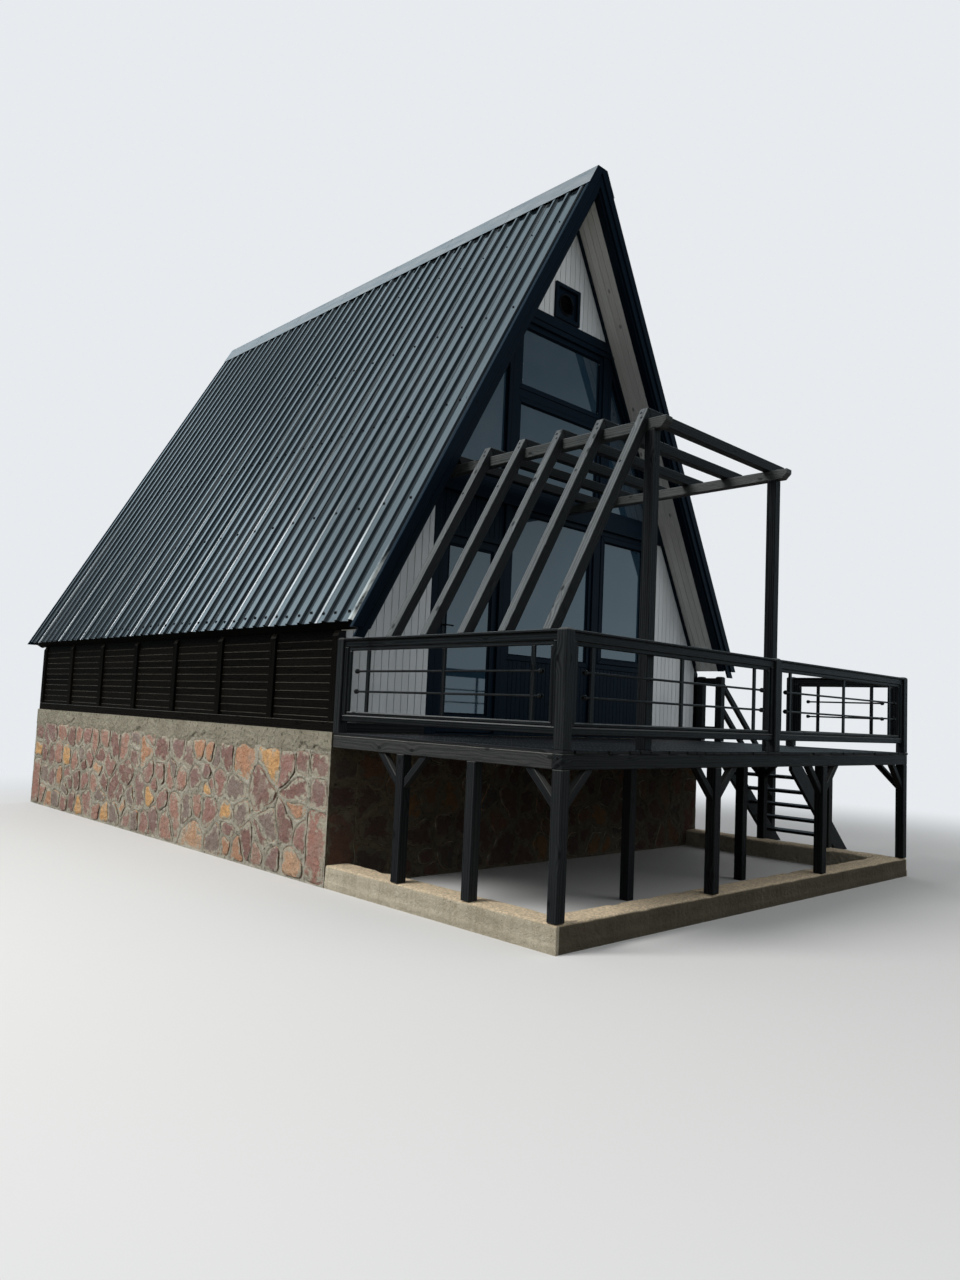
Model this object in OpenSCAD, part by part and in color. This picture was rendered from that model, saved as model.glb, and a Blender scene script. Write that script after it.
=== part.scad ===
/* [House] */
// Width of the house over its side walls
house_w = 6420; // [6000:10:7000]
// Length of the house over its end walls
house_l = 8250; // [8200:10:9000]
// Height of the deck and ground floor above the ground
deck_h = 1500; // [1300:10:1700]
// Thickness of the stone plinth walls
plinth_t = 400; // [350:10:500]
// Thickness of the boarded gable walls
gable_t = 160; // [140:5:200]
// Height of the storey band above the floor
band_z = 2710; // [2650:5:2750]
// Depth of the storey band, which is also the upper floor
band_h = 215; // [200:5:230]

/* [Roof] */
// Slope of the roof
roof_pitch = 61.3; // [60.5:0.1:61.6]
// Height of the sheet edge at the eaves above the ground
eave_z = 2580; // [2560:5:2600]
// Width of the flat along the ridge
ridge_flat = 180; // [120:10:200]
// Eaves overhang beyond the side wall
eave_out = 160; // [150:5:180]
// Roof overhang past the front wall
front_over = 460; // [400:10:600]
// Roof overhang past the back wall
back_over = 250; // [200:10:400]
// Depth of the whole roof, rib tops to lining
roof_t = 200; // [190:5:220]
// Spacing of the ribs in the roof sheets
rib_pitch = 220; // [200:5:260]
// Height of the ribs
rib_h = 35; // [25:1:40]

/* [Deck] */
// Width of the deck
deck_w = 6500; // [6400:10:7000]
// Depth of the deck in front of the house
deck_d = 2970; // [2900:10:3200]
// Side of the square timber posts
post = 100; // [90:5:110]
// Height of the railing posts above the deck
rail_h = 930; // [900:10:1000]
// Height of the concrete kerb under the deck posts
kerb_h = 220; // [150:10:250]

/* [Pergola] */
// Height of the pergola top above the deck
pergola_h = 2980; // [2900:10:3050]
// Distance of the left pergola post from the deck edge
pergola_x = 1170; // [1150:5:1200]
// Length of the cross beams
cross_l = 2430; // [2300:10:2500]
// Spacing of the rafters and cross beams
rafter_step = 490; // [450:5:500]

/* [Stair] */
// Number of rises from the ground to the deck
rises = 7; // [6:1:8]
// Going of each tread
going = 250; // [230:5:280]

/* [Door] */
// Width of the door leaf
leaf_w = 870; // [800:5:900]
// Height of the door leaf
leaf_h = 2180; // [2100:5:2200]
// Thickness of the door leaf
leaf_t = 60; // [50:1:68]

/* [Hidden] */

// The origin is at the foot of the front plinth wall, halfway through its thickness.
half_w = house_w / 2;
front = -plinth_t / 2;
back = front + house_l;
band_lo = deck_h + band_z;
band_hi = band_lo + band_h;
eave_x = half_w + eave_out;
// Where the slopes would meet, and the level flat they are cut off by
ridge_z = eave_z + eave_x * tan(roof_pitch);
ridge_top = ridge_z - ridge_flat / 2 * tan(roof_pitch);
slope_l = (eave_x - ridge_flat / 2) / cos(roof_pitch);
roof_front = front - front_over;
roof_back = back + back_over;
// Play left along sloping joints, and the depth at which walls and floor meet the roof
play = 0.2;
lining = roof_t + play;

// Height of the plane that lies depth below the rib tops, dx from the ridge line
function roof_z(dx, depth) = ridge_z - dx * tan(roof_pitch) - depth / cos(roof_pitch);
// Distance from the ridge line to that plane at height z
function roof_x(z, depth) = (ridge_z - depth / cos(roof_pitch) - z) / tan(roof_pitch);
// A point on the right slope, s up from the eaves and depth below the rib tops
function on_slope(s, depth) =
  [eave_x - s * cos(roof_pitch) - depth * sin(roof_pitch),
   eave_z + s * sin(roof_pitch) - depth * cos(roof_pitch)];

// Front wall: edges of its posts from left to right, and the upper posts on either side
frame_w = 60;
gap = 5;
latch_gap = 10;
wall_post = 95;
bay_out = 1930;
door_bay = [-bay_out, -bay_out + leaf_w + gap + latch_gap + 2 * frame_w];
centre_bay = [door_bay[1] + wall_post, 710];
right_bay = [centre_bay[1] + wall_post, bay_out];
post_out = bay_out + wall_post;
upper_in = 790;
upper_out = upper_in + 115;
header_lo = deck_h + 5020;
header_hi = deck_h + 5215;
window_lo = deck_h + 890;
transom_lo = deck_h + 4005;
transom_hi = deck_h + 4230;
frame_t = 80;
frame_y = front + 20;
glass_t = 20;
panel_t = 100;

// Timber below and around the deck
left = -half_w;
right = left + deck_w;
deck_front = front - deck_d;
board_t = 28;
beam_h = 120;
beam_lo = deck_h - board_t - beam_h;
kerb_w = 300;
brace_run = 210;
brace_w = 65;
stair_y = [deck_front + 1560, deck_front + 2560];

module box_at(lo, hi) {
  translate(lo)
    cube(hi - lo);
}

module along_y(y0, y1) {
  translate([0, y1, 0])
    rotate([90, 0, 0])
      linear_extrude(height = y1 - y0)
        children();
}

module along_x(x0, x1) {
  translate([x0, 0, 0])
    rotate([90, 0, 90])
      linear_extrude(height = x1 - x0)
        children();
}

module mirror_pair() {
  children();
  mirror([1, 0, 0])
    children();
}

/* Stone plinth and floors */
module plinth_end(y0) {
  color("rosybrown")
    box_at([-half_w, y0, 0], [half_w, y0 + plinth_t, deck_h]);
}

module plinth_front() {
  plinth_end(front);
}

module plinth_back() {
  plinth_end(back - plinth_t);
}

module plinth_right() {
  color("rosybrown")
    box_at([half_w - plinth_t, front + plinth_t, 0], [half_w, back - plinth_t, deck_h]);
}

module plinth_left() {
  mirror([1, 0, 0])
    plinth_right();
}

module ground_floor() {
  inner = half_w - plinth_t;
  color("burlywood")
    box_at([-inner, front + plinth_t, deck_h - 200], [inner, back - plinth_t, deck_h]);
}

module upper_floor() {
  color("burlywood")
    along_y(front + gable_t, back - gable_t)
      polygon([[-roof_x(band_lo, lining), band_lo], [roof_x(band_lo, lining), band_lo],
               [roof_x(band_hi, lining), band_hi], [-roof_x(band_hi, lining), band_hi]]);
}

/* Knee walls: sole plate, posts cut to the slope and a wall plate behind the boarding */
bays = 7;
sole_h = 100;
plate_h = 100;
plate_w = 50;
boarding_in = 30;
boarding_t = 20;
bay_step = (house_l - post) / bays;

// Outline between two places across the right wall, from z0 up to the roof less a gap
module wall_slice(x0, x1, z0, gap = 0) {
  polygon([[x0, z0], [x1, z0], [x1, roof_z(x1, lining) - gap], [x0, roof_z(x0, lining) - gap]]);
}

module side_frame_right() {
  color("black") {
    box_at([half_w - post, front, deck_h], [half_w, back, deck_h + sole_h]);
    for (i = [0:bays])
      along_y(front + i * bay_step, front + i * bay_step + post)
        wall_slice(half_w - post, half_w, deck_h + sole_h);
    along_y(front, back)
      wall_slice(half_w - post, half_w - post + plate_w, roof_z(half_w, lining) - plate_h);
  }
}

module side_frame_left() {
  mirror([1, 0, 0])
    side_frame_right();
}

module side_panels_right() {
  color("darkslategray")
    for (i = [0:bays - 1])
      along_y(front + i * bay_step + post + play, front + (i + 1) * bay_step - play)
        wall_slice(half_w - boarding_in - boarding_t + play, half_w - boarding_in, deck_h + sole_h, play);
}

module side_panels_left() {
  mirror([1, 0, 0])
    side_panels_right();
}

/* Front gable wall */
// Outline of the wall between two places across it and two heights, up to a depth in the roof
module wall_outline(x0, x1, z0, z1, depth = lining) {
  intersection() {
    translate([x0, z0])
      square([x1 - x0, z1 - z0]);
    polygon([[-roof_x(0, depth), 0], [roof_x(0, depth), 0], [0, roof_z(0, depth)]]);
  }
}

module front_wall_right() {
  color("whitesmoke")
    along_y(front, front + gable_t)
      wall_outline(post_out, half_w - post, deck_h, band_lo);
}

module front_wall_left() {
  mirror([1, 0, 0])
    front_wall_right();
}

vent_lo = deck_h + 5230;
vent_s = 465;

module front_wall_peak() {
  color("whitesmoke")
    difference() {
      along_y(front, front + gable_t)
        wall_outline(-half_w, half_w, header_hi, ridge_z);
      box_at([-vent_s / 2, front - 1, vent_lo], [vent_s / 2, front + gable_t + 1, vent_lo + vent_s]);
    }
}

module front_posts() {
  color("black") {
    for (x = [-post_out, door_bay[1], centre_bay[1], bay_out])
      box_at([x, front, deck_h], [x + wall_post, front + gable_t, band_lo]);
    mirror_pair()
      box_at([upper_in, front, band_hi], [upper_out, front + gable_t, header_lo]);
  }
}

band_out = 25;
soffit_t = 15;
trim_depth = roof_t + soffit_t + 45;

// Band across the front wall, its face standing proud between the trims
module band(z0, z1) {
  along_y(front, front + gable_t)
    wall_outline(-half_w, half_w, z0, z1);
  along_y(front - band_out, front)
    wall_outline(-half_w, half_w, z0, z1, trim_depth + play);
}

module storey_bands() {
  color("black") {
    band(band_lo, band_hi);
    translate([0, front + back, 0])
      mirror([0, 1, 0])
        band(band_lo, band_hi);
  }
}

module header_band() {
  color("black")
    band(header_lo, header_hi);
}

leaf_lo = deck_h + 30;
door_head = leaf_lo + leaf_h + gap + frame_w;
panel_y = front + 30;

module dark_panels() {
  color("midnightblue") {
    box_at([door_bay[0], panel_y, door_head], [door_bay[1], panel_y + panel_t, band_lo]);
    for (bay = [centre_bay, right_bay])
      box_at([bay[0], panel_y, deck_h], [bay[1], panel_y + panel_t, window_lo]);
  }
}

bead = 15;
glass_in = (frame_t - glass_t) / 2;

// Hole for a pane, with a step round it at the front
module opening_at(x0, x1, z0, z1, y0) {
  box_at([x0, y0 - 1, z0], [x1, y0 + frame_t + 1, z1]);
  box_at([x0 - bead, y0 - 1, z0 - bead], [x1 + bead, y0 + bead, z1 + bead]);
}

// Frame round a rectangular pane, its outside given
module frame_at(x0, x1, z0, z1, y0, width) {
  difference() {
    box_at([x0, y0, z0], [x1, y0 + frame_t, z1]);
    opening_at(x0 + width, x1 - width, z0 + width, z1 - width, y0);
  }
}

module pane_at(x0, x1, z0, z1, y0, width) {
  box_at([x0 + width, y0 + glass_in, z0 + width],
         [x1 - width, y0 + glass_in + glass_t, z1 - width]);
}

// Outline of a triangular side light, inset from its bay; its slanting rail stays under the roof
slant_rail = 60;

module side_light(inset) {
  x0 = upper_out + inset;
  z0 = band_hi + inset;
  depth = roof_t + slant_rail + inset;
  polygon([[x0, z0], [roof_x(z0, depth), z0], [x0, roof_z(x0, depth)]]);
}

sash_w = 140;
upper_rail = 75;

module front_window_frames() {
  color("black") {
    frame_at(centre_bay[0], centre_bay[1], window_lo, band_lo, frame_y, frame_w);
    frame_at(right_bay[0], right_bay[1], window_lo, band_lo, frame_y, sash_w);
    difference() {
      box_at([-upper_in, frame_y, band_hi], [upper_in, frame_y + frame_t, header_lo]);
      opening_at(-upper_in + frame_w, upper_in - frame_w, band_hi + frame_w, transom_lo, frame_y);
      opening_at(-upper_in + frame_w, upper_in - frame_w, transom_hi, header_lo - upper_rail, frame_y);
    }
    mirror_pair()
      along_y(front, front + gable_t)
        difference() {
          wall_outline(upper_out, half_w, band_hi, header_lo);
          side_light(frame_w);
        }
  }
}

module fixed_glass() {
  color("lightsteelblue") {
    pane_at(centre_bay[0], centre_bay[1], window_lo, band_lo, frame_y, frame_w);
    pane_at(right_bay[0], right_bay[1], window_lo, band_lo, frame_y, sash_w);
    pane_at(-upper_in, upper_in, band_hi, transom_lo + frame_w, frame_y, frame_w);
    pane_at(-upper_in, upper_in, transom_hi - frame_w, header_lo - upper_rail + frame_w, frame_y, frame_w);
    mirror_pair()
      along_y(frame_y + glass_in, frame_y + glass_in + glass_t)
        side_light(frame_w);
    pane_at(-back_win, back_win, back_lo, back_hi, back_frame_y, frame_w);
    pane_at(-back_win, back_win, back_up_lo, back_up_hi, back_frame_y, frame_w);
  }
}

vent_out = 30;
vent_edge = 50;
vent_r = 120;

// Box with a sunk face and a round air hole through it
module gable_vent() {
  half = vent_s / 2;
  color("black")
    difference() {
      box_at([-half, front - vent_out, vent_lo], [half, front + gable_t, vent_lo + vent_s]);
      box_at([-half + vent_edge, front - vent_out - 1, vent_lo + vent_edge],
             [half - vent_edge, front + 10, vent_lo + vent_s - vent_edge]);
      translate([0, front + gable_t + 1, vent_lo + half])
        rotate([90, 0, 0])
          cylinder(h = gable_t + vent_out + 2, r = vent_r, $fn = 64);
    }
}

/* Door, hung on its right edge and opening inwards */
door_left = door_bay[0] + frame_w + latch_gap;
door_right = door_left + leaf_w;
frame_back = front + 100;
leaf_y = front + 30;
sill_h = 20;
knuckle_r = 9;
knuckle_h = 50;
pin_x = door_right + 2;
pin_y = frame_back + knuckle_r + 2;
hinge_z = [leaf_lo + 250, leaf_lo + leaf_h / 2, leaf_lo + leaf_h - 250];

module door_frame() {
  color("black") {
    difference() {
      box_at([door_bay[0], front, deck_h], [door_bay[1], frame_back, door_head]);
      box_at([door_bay[0] + frame_w, front - 1, deck_h + sill_h],
             [door_bay[1] - frame_w, frame_back + 1, door_head - frame_w]);
    }
    for (z = hinge_z) {
      translate([pin_x, pin_y, z - knuckle_h - 1])
        cylinder(h = knuckle_h, r = knuckle_r, $fn = 32);
      box_at([pin_x, frame_back, z - knuckle_h - 1], [door_bay[1] - frame_w / 2, frame_back + 5, z - 1]);
    }
  }
}

stile = 100;
foot_rail = 200;
door_glass_t = 24;

module door_leaf() {
  color("black") {
    difference() {
      box_at([door_left, leaf_y, leaf_lo], [door_right, leaf_y + leaf_t, leaf_lo + leaf_h]);
      box_at([door_left + stile, leaf_y - 1, leaf_lo + foot_rail],
             [door_right - stile, leaf_y + leaf_t + 1, leaf_lo + leaf_h - stile]);
      box_at([door_left + stile - bead, leaf_y - 1, leaf_lo + foot_rail - bead],
             [door_right - stile + bead, leaf_y + bead, leaf_lo + leaf_h - stile + bead]);
    }
    for (z = hinge_z) {
      translate([pin_x, pin_y, z + 1])
        cylinder(h = knuckle_h, r = knuckle_r, $fn = 32);
      box_at([pin_x - 30, leaf_y + leaf_t, z + 1], [pin_x, pin_y, z + 1 + knuckle_h]);
    }
  }
}

module door_glass() {
  color("lightsteelblue")
    box_at([door_left + stile, leaf_y + (leaf_t - door_glass_t) / 2, leaf_lo + foot_rail],
           [door_right - stile, leaf_y + (leaf_t + door_glass_t) / 2, leaf_lo + leaf_h - stile]);
}

handle_x = door_left + stile / 2;
handle_z = deck_h + 1200;

module lever(y0, dir) {
  translate([handle_x, y0, handle_z])
    mirror([0, dir < 0 ? 1 : 0, 0]) {
      box_at([-20, 0, -110], [20, 8, 110]);
      rotate([-90, 0, 0])
        cylinder(h = 50, r = 9, $fn = 32);
      box_at([-9, 38, -9], [125, 50, 9]);
    }
}

module door_handle() {
  color("silver") {
    lever(leaf_y, -1);
    lever(leaf_y + leaf_t, 1);
  }
}

/* Back gable wall */
back_win = 600;
back_lo = deck_h + 900;
back_hi = deck_h + 2300;
back_up_lo = band_hi + 600;
back_up_hi = band_hi + 1600;
back_frame_y = back - 20 - frame_t;

module back_wall(z0, z1, hole_lo, hole_hi) {
  difference() {
    along_y(back - gable_t, back)
      wall_outline(-half_w + post, half_w - post, z0, z1);
    box_at([-back_win, back - gable_t - 1, hole_lo], [back_win, back + 1, hole_hi]);
  }
}

module back_wall_lower() {
  color("whitesmoke")
    back_wall(deck_h, band_lo, back_lo, back_hi);
}

module back_wall_upper() {
  color("whitesmoke")
    back_wall(band_hi, ridge_z, back_up_lo, back_up_hi);
}

module back_window_frames() {
  color("black") {
    frame_at(-back_win, back_win, back_lo, back_hi, back_frame_y, frame_w);
    frame_at(-back_win, back_win, back_up_lo, back_up_hi, back_frame_y, frame_w);
  }
}

/* Roof */
sheet_out = 30;
sheet_t = 3;
sheet_top = 60;
rib_top = 35;
rib_foot = 80;
cap_wing = 325;
cap_out = 50;

module roof_deck_right() {
  under_sheet = rib_h + play;
  color("dimgray")
    along_y(roof_front, roof_back)
      polygon([on_slope(sheet_out, under_sheet), [roof_x(ridge_top, under_sheet), ridge_top], [0, ridge_top],
               [0, roof_z(0, roof_t)], on_slope(sheet_out, roof_t)]);
}

module roof_deck_left() {
  mirror([1, 0, 0])
    roof_deck_right();
}

sheet_run = roof_back - roof_front - 2 * play;
ribs = floor((sheet_run - rib_foot) / rib_pitch);
sheet_from = (sheet_run - ribs * rib_pitch) / 2;

// One side of the corrugated profile, y along the roof, drawn h above the valleys
function rib_points(h) = [
  for (i = [0:ribs])
    let (c = sheet_from + i * rib_pitch)
      each [[c - rib_foot / 2, h], [c - rib_top / 2, h + rib_h - sheet_t],
            [c + rib_top / 2, h + rib_h - sheet_t], [c + rib_foot / 2, h]]];

function reversed(list) = [for (i = [len(list) - 1:-1:0]) list[i]];
function mirrored(list) = [for (p = list) [-p[0], p[1]]];

module sheet_profile() {
  polygon(concat([[0, 0]], rib_points(0), [[sheet_run, 0], [sheet_run, sheet_t]],
                 reversed(rib_points(sheet_t)), [[0, sheet_t]]));
}

module roof_sheet_right() {
  foot = on_slope(0, rib_h);
  color("slategray")
    translate([foot[0], roof_front + play, foot[1]])
      rotate([0, roof_pitch - 90, 0])
        rotate([0, 0, 90])
          linear_extrude(height = slope_l - sheet_top)
            mirror([0, 1, 0])
              sheet_profile();
}

module roof_sheet_left() {
  mirror([1, 0, 0])
    roof_sheet_right();
}

// Edge of a wing and corner of the flat, on the plane at that depth and at the height top
function cap_edge(depth, top) =
  [on_slope(slope_l - cap_wing, depth), [roof_x(top, depth), top]];

module ridge_cap() {
  inner = cap_edge(-play, ridge_top + play);
  outer = cap_edge(-play - sheet_t, ridge_top + play + sheet_t);
  color("lightslategray")
    along_y(roof_front - cap_out, roof_back + cap_out)
      polygon(concat(inner, reversed(mirrored(inner)), mirrored(outer), reversed(outer)));
}

// Verge: a strip over a lower board, each cut level at its foot, with a batten behind the strip
batten_d = 80;
strip_d = 105;
barge_d = 190;
barge_t = 25;
strip_t = 20;
strip_foot = eave_z - 75;
barge_foot = eave_z - 165;
meet = 1;

// Sloping board between two depths in the roof, cut level at its foot and at the ridge
module sloping_board(y0, y1, d0, d1, foot) {
  along_y(y0, y1)
    intersection() {
      polygon([on_slope(-barge_d, d0), [0, roof_z(0, d0)], [0, roof_z(0, d1)], on_slope(-barge_d, d1)]);
      translate([meet, foot])
        square([eave_x + barge_d, ridge_top - foot]);
    }
}

module front_verge() {
  face = roof_front - barge_t;
  sloping_board(face, roof_front, sheet_t, batten_d, strip_foot);
  sloping_board(face, roof_front, batten_d, barge_d, barge_foot);
  sloping_board(face - strip_t, face, sheet_t, strip_d, strip_foot);
}

module bargeboards() {
  color("black")
    mirror_pair() {
      front_verge();
      translate([0, roof_front + roof_back, 0])
        mirror([0, 1, 0])
          front_verge();
    }
}

module soffit(y0, y1, t) {
  along_y(y0, y1)
    polygon([on_slope(sheet_out, lining), [meet, roof_z(meet, lining)], [meet, roof_z(meet, lining + t)],
             on_slope(sheet_out, lining + t)]);
}

// The board at the verge is thicker than the others
verge_board_w = 100;
verge_board_t = 20;

module soffit_boards() {
  color("tan")
    mirror_pair() {
      soffit(roof_front, roof_front + verge_board_w, verge_board_t);
      soffit(roof_front + verge_board_w, front, soffit_t);
      soffit(back, roof_back - verge_board_w, soffit_t);
      soffit(roof_back - verge_board_w, roof_back, verge_board_t);
    }
}

module trim(y0, y1) {
  along_y(y0, y1)
    intersection() {
      polygon([on_slope(0, lining + soffit_t + play), [meet, roof_z(meet, lining + soffit_t + play)],
               [meet, roof_z(meet, trim_depth)], on_slope(0, trim_depth)]);
      square([half_w - post, ridge_z]);
    }
}

module gable_trim() {
  color("black")
    mirror_pair() {
      trim(front - band_out, front);
      trim(back, back + band_out);
    }
}

/* Deck */
module kerb() {
  color("tan")
    difference() {
      box_at([left - 10, deck_front - 10, 0], [right + 10, front, kerb_h]);
      box_at([left + kerb_w, deck_front + kerb_w, -1], [right - kerb_w, front + 1, kerb_h + 1]);
    }
}

post_x = [left, left + 2130, left + 4250, right - post];
side_post_y = [deck_front + 940, deck_front + 1860];

module deck_post(x, y, z0) {
  box_at([x, y, z0], [x + post, y + post, beam_lo]);
}

module deck_posts() {
  color("black") {
    for (x = post_x)
      deck_post(x, deck_front, kerb_h);
    for (x = [post_x[0], post_x[3]], y = side_post_y)
      deck_post(x, y, kerb_h);
    for (x = [post_x[1], post_x[2]])
      deck_post(x, side_post_y[0], 0);
  }
}

// Knee brace from a post up to the beam above, running towards +X
module brace() {
  w = brace_w * sqrt(2);
  rotate([90, 0, 0])
    translate([0, 0, -brace_w / 2])
      linear_extrude(height = brace_w)
        polygon([[0, -brace_run - w], [brace_run + w, 0], [brace_run, 0], [0, -brace_run]]);
}

module deck_braces() {
  mid = post / 2;
  color("black") {
    for (x = [post_x[0], post_x[1], post_x[2]])
      translate([x + post, deck_front + mid, beam_lo])
        brace();
    for (x = [post_x[1], post_x[2], post_x[3]])
      translate([x, deck_front + mid, beam_lo])
        rotate([0, 0, 180])
          brace();
    for (x = [post_x[0] + mid, post_x[3] + mid]) {
      for (y = [deck_front, side_post_y[1]])
        translate([x, y + post, beam_lo])
          rotate([0, 0, 90])
            brace();
      translate([x, side_post_y[1], beam_lo])
        rotate([0, 0, -90])
          brace();
    }
  }
}

joists = 5;
joist_w = 50;
joist_h = 100;
joist_step = 470;

module deck_frame() {
  top = deck_h - board_t;
  color("black") {
    box_at([left, deck_front, beam_lo], [right, deck_front + post, top]);
    for (x = post_x)
      box_at([x, deck_front + post, beam_lo], [x + post, front, top]);
    for (i = [1:joists])
      box_at([left + post, deck_front + i * joist_step, top - joist_h],
             [right - post, deck_front + i * joist_step + joist_w, top]);
  }
}

module deck_boards() {
  color("darkslategray")
    box_at([left, deck_front - 15, deck_h - board_t], [right, front, deck_h]);
}

/* Railing */
rail_frame = 55;
cap_t = 20;
bottom_rail = [110, 210];
top_rail = [800, rail_h - 30];
bar_w = 40;
bar_t = 20;
rod_r = 8;
rod_in = 170;
knob_r = 15;
knob_l = 40;
rod_z = [405, 600];
panel_lip = 35;
panel_sunk = 12;

// Post with a chamfered top
module railing_post() {
  c = 15;
  intersection() {
    linear_extrude(height = rail_h)
      square(post);
    along_y(0, post)
      polygon([[0, 0], [post, 0], [post, rail_h - c], [post - c, rail_h], [c, rail_h], [0, rail_h - c]]);
    rotate([0, 0, 90])
      along_y(-post, 0)
        polygon([[0, 0], [post, 0], [post, rail_h - c], [post - c, rail_h], [c, rail_h], [0, rail_h - c]]);
  }
}

// Panel from 0 to run along +X, its middle at y = 0: a frame sunk on both faces, bars and rods
module railing_panel(run, bars) {
  half = rail_frame / 2;
  open_x = rail_frame + panel_lip;
  difference() {
    box_at([0, -half, bottom_rail[0]], [run, half, top_rail[1]]);
    box_at([open_x, -half - 1, bottom_rail[1]], [run - open_x, half + 1, top_rail[0]]);
    for (side = [-1, 1])
      box_at([rail_frame, side > 0 ? half - panel_sunk : -half - 1, bottom_rail[1] - panel_lip],
             [run - rail_frame, side > 0 ? half + 1 : -half + panel_sunk, top_rail[0] + panel_lip]);
  }
  box_at([0, -post / 2, top_rail[1]], [run, post / 2, top_rail[1] + cap_t]);
  for (b = bars)
    box_at([b * run - bar_w / 2, -bar_t / 2, bottom_rail[1]], [b * run + bar_w / 2, bar_t / 2, top_rail[0]]);
  for (z = rod_z) {
    translate([rod_in, 0, z])
      rotate([0, 90, 0])
        cylinder(h = run - 2 * rod_in, r = rod_r, $fn = 24);
    for (x = [rod_in, run - rod_in - knob_l])
      translate([x, 0, z])
        rotate([0, 90, 0])
          cylinder(h = knob_l, r = knob_r, $fn = 24);
  }
}

mid_post = left + deck_w / 2 - post / 2;
side_end = deck_front + 1460;

module railing_posts() {
  color("black")
    for (p = [[left, deck_front], [left, front - post], [mid_post, deck_front],
              [right - post, deck_front], [right - post, side_end],
              [right - post, stair_y[1]], [right - post, front - post]])
      translate([p[0], p[1], deck_h])
        railing_post();
}

module railing_left() {
  color("black")
    translate([left + post / 2, deck_front + post, deck_h])
      rotate([0, 0, 90])
        railing_panel(deck_d - 2 * post, [0.1, 0.48, 0.87]);
}

module railing_front_left() {
  color("black")
    translate([left + post, deck_front + post / 2, deck_h])
      railing_panel(mid_post - left - post, [0.09, 0.49, 0.89]);
}

module railing_front_right() {
  color("black")
    translate([mid_post + post, deck_front + post / 2, deck_h])
      railing_panel(right - 2 * post - mid_post, [0.09, 0.49, 0.89]);
}

short_rail_t = 50;
short_rails = [bottom_rail, [820, 910]];

module railing_right() {
  mid = right - post / 2;
  color("black") {
    translate([mid, deck_front + post, deck_h])
      rotate([0, 0, 90])
        railing_panel(side_end - deck_front - post, [0.24, 0.76]);
    for (z = short_rails)
      box_at([mid - short_rail_t / 2, stair_y[1] + post, deck_h + z[0]],
             [mid + short_rail_t / 2, front - post, deck_h + z[1]]);
  }
}

/* Stair at the right side of the deck */
rise = deck_h / rises;
stringer_t = 50;
stringer_d = 240;
stair_run = (rises - 1) * going;
stair_pitch = atan(rise / going);
stringer_hi = deck_h - 20;
tread_t = 40;
drop = stringer_d / cos(stair_pitch);

module stringer(y0) {
  along_y(y0, y0 + stringer_t)
    polygon([[right, stringer_hi], [right + stringer_hi / rise * going, 0],
             [right + (stringer_hi - drop) / rise * going, 0], [right, stringer_hi - drop]]);
}

module stair_stringers() {
  color("black") {
    stringer(stair_y[0] - stringer_t);
    stringer(stair_y[1]);
  }
}

module stair_treads() {
  color("darkslategray")
    for (i = [1:rises - 1])
      box_at([right + (i - 1) * going, stair_y[0], deck_h - i * rise - tread_t],
             [right + i * going - 10, stair_y[1], deck_h - i * rise]);
}

handrail_h = 100;
handrail_w = 50;
handrail_top = deck_h + rail_h - 20;
mid_rail_down = 350;

module stair_handrail() {
  newel_x = right + stair_run + 30;
  fall = (newel_x - right) / going * rise;
  y0 = stair_y[1] + stringer_t;
  color("black") {
    box_at([newel_x, y0, 0], [newel_x + post, y0 + post, rail_h + rise]);
    for (top = [handrail_top, handrail_top - mid_rail_down])
      along_y(y0, y0 + handrail_w)
        polygon([[right, top - handrail_h], [right, top], [newel_x, top - fall],
                 [newel_x, top - handrail_h - fall]]);
  }
}

/* Pergola */
pergola_top = deck_h + pergola_h;
cross_h = 100;
side_beam_top = pergola_top - cross_h;
side_beam_lo = side_beam_top - post;
side_beam_x = [left + pergola_x, left + pergola_x + 2130];
side_beam_y = deck_front - 20;
// Height of the slanting cut under the free ends of the beams
end_cut = 55;
pergola_post_y = deck_front + post;
rafter_w = 85;
rafter_t = 100;
rafter_y = [for (i = [0:5]) deck_front + 170 + i * rafter_step];
rafter_foot = deck_h + top_rail[1] + cap_t;
rafter_pitch = atan((pergola_top - rafter_foot) / pergola_x);

module pergola_posts() {
  color("black")
    for (x = side_beam_x)
      box_at([x, pergola_post_y, deck_h], [x + post, pergola_post_y + post, side_beam_lo]);
}

module pergola_side_beams() {
  color("black")
    for (x = side_beam_x)
      along_x(x, x + post)
        polygon([[front - band_out, side_beam_top], [front - band_out, side_beam_lo],
                 [side_beam_y + end_cut, side_beam_lo], [side_beam_y, side_beam_lo + end_cut],
                 [side_beam_y, side_beam_top]]);
}

mitre = cross_h * tan(rafter_pitch / 2);

module pergola_cross_beams() {
  x0 = left + pergola_x;
  x1 = x0 + cross_l;
  color("black")
    for (y = rafter_y)
      along_y(y, y + rafter_w)
        polygon([[x0, pergola_top], [x0 + mitre, side_beam_top], [x1 - end_cut, side_beam_top],
                 [x1, side_beam_top + end_cut], [x1, pergola_top]]);
}

module pergola_rafters() {
  x0 = left + pergola_x;
  foot_w = rafter_t / sin(rafter_pitch);
  color("gray")
    for (i = [0:4])
      difference() {
        along_y(rafter_y[i], rafter_y[i] + rafter_w)
          polygon([[left, rafter_foot], [left + foot_w, rafter_foot], [x0 + mitre, side_beam_top],
                   [x0, pergola_top]]);
        box_at([side_beam_x[0], side_beam_y - 10, side_beam_lo - 10],
               [side_beam_x[0] + post, front, side_beam_top]);
      }
}

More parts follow.
